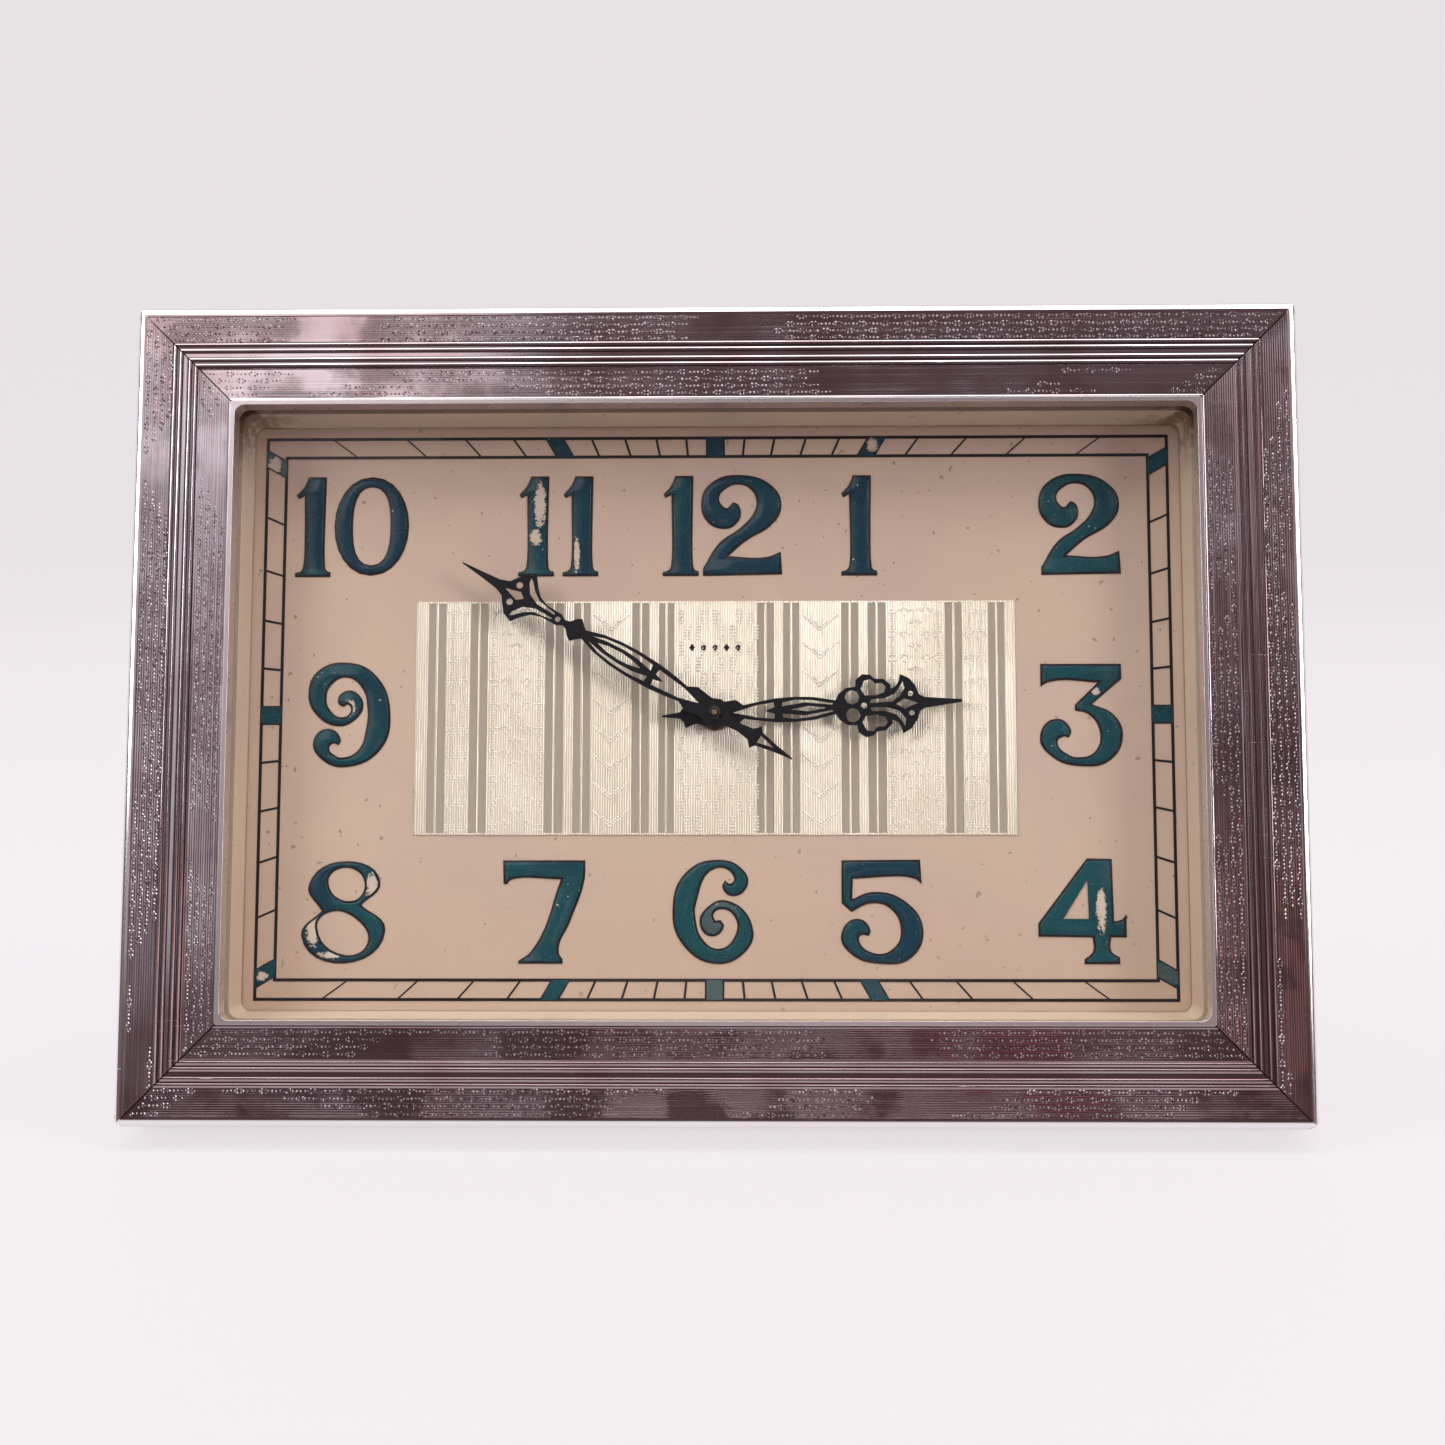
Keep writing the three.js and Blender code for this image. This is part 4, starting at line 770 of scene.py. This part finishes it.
# ---- minute track ----
TRACK_OUT, TRACK_IN = (71.03, 44.12), (68.0, 41.13)  # half sizes of the two rectangles
LINE = 0.48  # width of their lines
MINUTE_LINE = LINE * 0.38  # half width of a minute's stroke
HOUR_EDGE, HOUR_BLOCK = 1.5, 1.2  # half widths of an hour's black edge and of its enamel


def track_point(angle, half):
    """Where a ray from the centre, clockwise from twelve, meets a rectangle of that half size."""
    dx, dz = math.sin(angle), math.cos(angle)
    reach = min(size / abs(part) for size, part in zip(half, (dx, dz)) if abs(part) > 1e-9)
    return Vector((dx * reach, dz * reach))


def across_track(angle, half_width):
    """Outline of a stroke from the inner to the outer line of the track."""
    inner, outer = track_point(angle, TRACK_IN), track_point(angle, TRACK_OUT)
    on_side = abs(outer.x) > TRACK_OUT[0] - 0.01
    step = Vector((0, half_width)) if on_side else Vector((half_width, 0))
    corners = (inner - step, inner + step, outer + step, outer - step)
    return [(p.x, p.y, "c") for p in corners]


def rectangle(half_x, half_z):
    return [(-half_x, -half_z, "c"), (half_x, -half_z, "c"), (half_x, half_z, "c"), (-half_x, half_z, "c")]


lines = []
for half in (TRACK_OUT, TRACK_IN):
    lines.append(drawn([rectangle(half[0] + LINE / 2, half[1] + LINE / 2),
                        rectangle(half[0] - LINE / 2, half[1] - LINE / 2)], DIAL_FRONT, 0.06))
blocks = []
for minute in range(60):
    angle = minute * math.tau / 60
    if minute % 5:
        lines.append(drawn([across_track(angle, MINUTE_LINE)], DIAL_FRONT, 0.05))
    else:
        lines.append(drawn([across_track(angle, HOUR_EDGE)], DIAL_FRONT, 0.05))
        blocks.append(drawn([across_track(angle, HOUR_BLOCK)], DIAL_FRONT, 0.11, 0.03))
fit(lean(join(lines)), "root", "enamel", BLACK, name="minute_track")
fit(lean(join(blocks)), "root", "enamel", ENAMEL, name="hour_blocks")

# ---- engine-turned centre panel ----
PANEL_X, PANEL_TOP, PANEL_FOOT = 46.6, 17.8, -18.6
PANEL_RISE = 0.12
FINE_RIDGE = 0.17  # half width
BEAD, BEAD_RADIUS = 0.12, 0.19
ARBOR_HOLE = 2.6  # radius of the opening for the hands' arbors
BEAD_PITCH = 0.42  # between the beads of an upright line
BANDS = [  # right edge of each band from the left of the panel, and what it carries
    (1.6, "lines"), (4.4, "flat"), (8.2, "chain"), (11.0, "flat"), (20.0, "flowers"), (22.9, "flat"),
    (24.4, "lines"), (27.1, "flat"), (33.6, "chevron"), (36.3, "flat"), (37.8, "lines"), (40.2, "flat"),
    (53.2, "weave"), (55.8, "flat"), (57.2, "lines"), (59.8, "flat"), (66.3, "chevron"), (69.0, "flat"),
    (70.4, "lines"), (73.3, "flat"), (82.5, "flowers"), (85.2, "flat"), (89.2, "chain"), (91.8, "flat"),
    (93.2, "lines")]


def plate(x0, x1, z0, z1, rise):
    """A low raised strip of the panel; it is open where the hands' arbors come through."""
    outlines = [[(x0, z0, "c"), (x1, z0, "c"), (x1, z1, "c"), (x0, z1, "c")]]
    if x0 < -ARBOR_HOLE and x1 > ARBOR_HOLE and z0 < -ARBOR_HOLE and z1 > ARBOR_HOLE:
        turns = [math.tau * i / 12 for i in range(12)]
        outlines.append([(ARBOR_HOLE * math.cos(a), ARBOR_HOLE * math.sin(a), "s") for a in turns])
    return drawn(outlines, DIAL_FRONT, rise, 0.03)


def figures_of(kind, x0, x1):
    """Where the beads of one band stand."""
    middle, points = (x0 + x1) / 2, []
    height = PANEL_TOP - PANEL_FOOT - 1.2
    foot = PANEL_FOOT + 0.6
    if kind == "chain":
        for i in range(int(height / BEAD_PITCH)):
            z = foot + i * BEAD_PITCH
            points += [(middle - 0.9, z), (middle + 0.9, z)]
            if i % 9 in (0, 2):
                points += [(middle + dx, z) for dx in (-1.4, -0.45, 0.45, 1.4)]
            if i % 9 == 1:
                points += [(middle + dx, z) for dx in (-1.6, -0.3, 0.3, 1.6)]
    elif kind == "flowers":
        petals = ((0, 0.55), (0, -0.55), (0.55, 0), (-0.55, 0),
                  (0.95, 0.15), (-0.95, 0.15), (0.35, 0.35), (-0.35, 0.35))
        for i in range(int(height / 1.85)):
            z = foot + 1 + i * 1.85
            columns = (0.0,) if i % 2 else (-1.7, 1.7)
            points += [(middle + c + dx, z + dz) for c in columns for dx, dz in petals]
        for i in range(int(height / BEAD_PITCH)):
            z = foot + i * BEAD_PITCH
            points += [(x0 + 0.95, z), (x1 - 0.95, z)]
            if i % 9 in (0, 2):
                points += [(x0 + 0.5, z), (x0 + 1.4, z), (x1 - 0.5, z), (x1 - 1.4, z)]
    elif kind == "chevron":
        for i in range(int(height / 4.4)):
            z = foot + 0.6 + i * 4.4
            for rise, count in ((0, 9), (0.5, 4)):
                points += [(middle + side * (0.15 + k * 0.32), z + rise + k * 0.3)
                           for side in (-1, 1) for k in range(count)]
    elif kind == "weave":
        for column in range(5):
            for i in range(int(height / 0.5)):
                step = (i // 5 + column) % 2
                x = x0 + 0.9 + column * 2.7
                points += [(x + dx, foot + i * 0.5) for dx in ((0, 0.5) if step else (0.9, 1.4))]
    return points


panel_pieces = {"turned": [], "flat": []}
beads = []
edge = -PANEL_X
for right, kind in BANDS:
    x1 = right - PANEL_X
    rise = PANEL_RISE * 0.35 if kind == "flat" else PANEL_RISE
    panel_pieces["flat" if kind == "flat" else "turned"].append(
        plate(edge, x1, PANEL_FOOT, PANEL_TOP, rise))
    if kind == "flat":  # a bright fine ridge parts the two halves of every flat band
        middle = (edge + x1) / 2
        panel_pieces["turned"].append(
            plate(middle - FINE_RIDGE, middle + FINE_RIDGE, PANEL_FOOT, PANEL_TOP, PANEL_RISE))
    beads += figures_of(kind, edge, x1)
    edge = x1
FRAME_HALF, FRAME_RISE = 0.12, PANEL_RISE + 0.02  # the fine line round the panel
frame_lines = [plate(-PANEL_X - 0.25, PANEL_X + 0.25, z - FRAME_HALF, z + FRAME_HALF, FRAME_RISE)
               for z in (PANEL_TOP, PANEL_FOOT)]
frame_lines += [plate(x - FRAME_HALF, x + FRAME_HALF, PANEL_FOOT, PANEL_TOP, FRAME_RISE)
                for x in (-PANEL_X - 0.13, PANEL_X + 0.13)]
turned_bands = join(panel_pieces["turned"] + frame_lines)
fit(lean(turned_bands), "root", "silvered_dial", PANEL, name="panel_turned_bands")
fit(lean(join(panel_pieces["flat"])), "root", "silvered_dial", FLAT, name="panel_flat_bands")
clear = [(x, z) for x, z in beads if math.hypot(x, z) > ARBOR_HOLE + 0.3]
bead_depth = DIAL_FRONT - PANEL_RISE - BEAD / 2
figure_beads = beads_at([Vector((x, bead_depth, z)) for x, z in clear], BEAD_RADIUS, BEAD, 6)
smooth(figure_beads, 20)
fit(lean(figure_beads), "root", "silvered_dial", BRIGHT, name="panel_figures")

# a plain row of lozenges where the dial would carry its wording
ROW, HALF_WIDE, HALF_HIGH = 10.6, 0.45, 0.6
lozenges = []
for x in (-3.6, -1.8, 0, 1.8, 3.6):
    corners = ((x - HALF_WIDE, ROW), (x, ROW - HALF_HIGH), (x + HALF_WIDE, ROW), (x, ROW + HALF_HIGH))
    lozenges.append(drawn([[(px, pz, "c") for px, pz in corners]], DIAL_FRONT - PANEL_RISE, 0.06))
fit(lean(join(lozenges)), "root", "enamel", BLACK, name="lozenge_row")

# ---- hands, screws and the rest of the eased frame nodes ----
for node, width in (("minute_hand", 0.09), ("hour_hand", 0.09), ("hand_collet", 0.08)):
    refine(node, width, 2, BLUED, 40)
EASED = (("movement_cap", 0.25), ("winding_key", 0.25), ("key_wing", 0.35), ("set_knob", 0.12),
         ("hinge_case_leaf", 0.15), ("hinge_strut_leaf", 0.15), ("hinge_pin", 0.15),
         ("strut", 0.6), ("back_board", 0.5))
for node, width in EASED:
    refine(node, width)
for i in range(4):
    refine(f"back_screw_{i + 1}", 0.08, 1)
for i in range(3):
    refine(f"cap_screw_{i + 1}", 0.06, 1)


# ---- floor and light ----
FLOOR_RADIUS, BEND, WALL_TOP = 1.6, 0.6, 2.4
BEND_STEPS = 10
NEAR_EDGE = -0.14  # the backdrop in front of this is kept out of the silver


def backdrop(name, near):
    """A pale round room whose floor bends up into a wall; it is cut in two at NEAR_EDGE.

    The near part is seen but neither lights the clock nor is mirrored in it, so the silver stays dark.
    """
    f = Finish("pale_backdrop", Base_Color=(0.085, 0.085, 0.085, 1), Roughness=0.8)
    f.set(Emission_Color=(0.715, 0.675, 0.70, 1), Emission_Strength=1.0)
    fresh()
    bpy.ops.mesh.primitive_circle_add(vertices=96, radius=FLOOR_RADIUS, fill_type="NGON")
    piece = bpy.context.object
    edit(piece)
    bpy.ops.mesh.select_mode(type="EDGE")
    radius = FLOOR_RADIUS
    for step in range(BEND_STEPS):
        a, b = (math.pi / 2 * part / BEND_STEPS for part in (step, step + 1))
        wider = radius + BEND * (math.sin(b) - math.sin(a))
        bpy.ops.mesh.extrude_region_move(
            TRANSFORM_OT_translate={"value": (0, 0, BEND * (math.cos(a) - math.cos(b)))})
        bpy.ops.transform.resize(value=(wider / radius, wider / radius, 1), center_override=(0, 0, 0))
        radius = wider
    bpy.ops.mesh.extrude_region_move(TRANSFORM_OT_translate={"value": (0, 0, WALL_TOP)})
    bpy.ops.mesh.select_all(action="SELECT")
    bpy.ops.mesh.bisect(
        plane_co=(0, NEAR_EDGE, 0), plane_no=(0, 1, 0), clear_inner=not near, clear_outer=near)
    done()
    smooth(piece, 60)
    piece.name = name
    piece.data.materials.append(f.material)
    piece.visible_glossy = piece.visible_diffuse = not near


backdrop("backdrop", False)
backdrop("backdrop_near", True)


def softbox(name, place, towards, size, power, colour=(1, 1, 1)):
    """An oblong lamp aimed at a point; it is not itself seen."""
    data = bpy.data.lights.new(name, "AREA")
    data.shape, data.size, data.size_y = "RECTANGLE", size[0], size[1]
    data.energy, data.color = power, colour
    lamp = bpy.data.objects.new(name, data)
    bpy.context.scene.collection.objects.link(lamp)
    lamp.visible_camera = False
    lamp.matrix_world = aimed(place, Vector(towards) - Vector(place))


softbox("overhead", (0.0, -0.22, 1.15), (0, 0, 0.05), (1.6, 0.8), 17)
softbox("front_left", (-1.15, -0.8, 0.75), (0, 0, 0.06), (0.5, 0.8), 9, (0.95, 0.97, 1.0))
softbox("front_right", (1.2, -0.75, 0.6), (0, 0, 0.06), (0.4, 0.8), 9.5, (1.0, 0.96, 0.94))
# cards that the strips mirror
softbox("card_top_left", (-0.46, -1.40, 1.02), (0, 0, 0.1), (0.42, 0.5), 0.9, (1.0, 0.92, 0.93))
softbox("card_left", (-0.72, -1.30, 0.62), (0, 0, 0.06), (0.26, 0.6), 0.34, (0.92, 0.95, 1.0))
softbox("card_right", (0.66, -1.30, 0.78), (0, 0, 0.06), (0.16, 0.4), 0.20, (0.95, 0.96, 1.0))
softbox("card_low_middle", (0.0, -1.40, 0.29), (0, 0, 0.02), (0.30, 0.09), 0.11, (1.0, 0.88, 0.92))
softbox("card_low_pink", (0.20, -1.40, 0.20), (0, 0, 0.02), (0.16, 0.05), 0.025, (1.0, 0.25, 0.35))
softbox("card_low_right", (0.72, -1.30, 0.30), (0, 0, 0.02), (0.14, 0.22), 0.10, (1.0, 0.62, 0.55))

world = bpy.data.worlds.new("room")
world.use_nodes = True
surroundings = world.node_tree.nodes["Background"]
surroundings.inputs["Color"].default_value = (0.155, 0.105, 0.112, 1)
surroundings.inputs["Strength"].default_value = 1.0
bpy.context.scene.world = world
bpy.context.scene.view_settings.view_transform = "Standard"
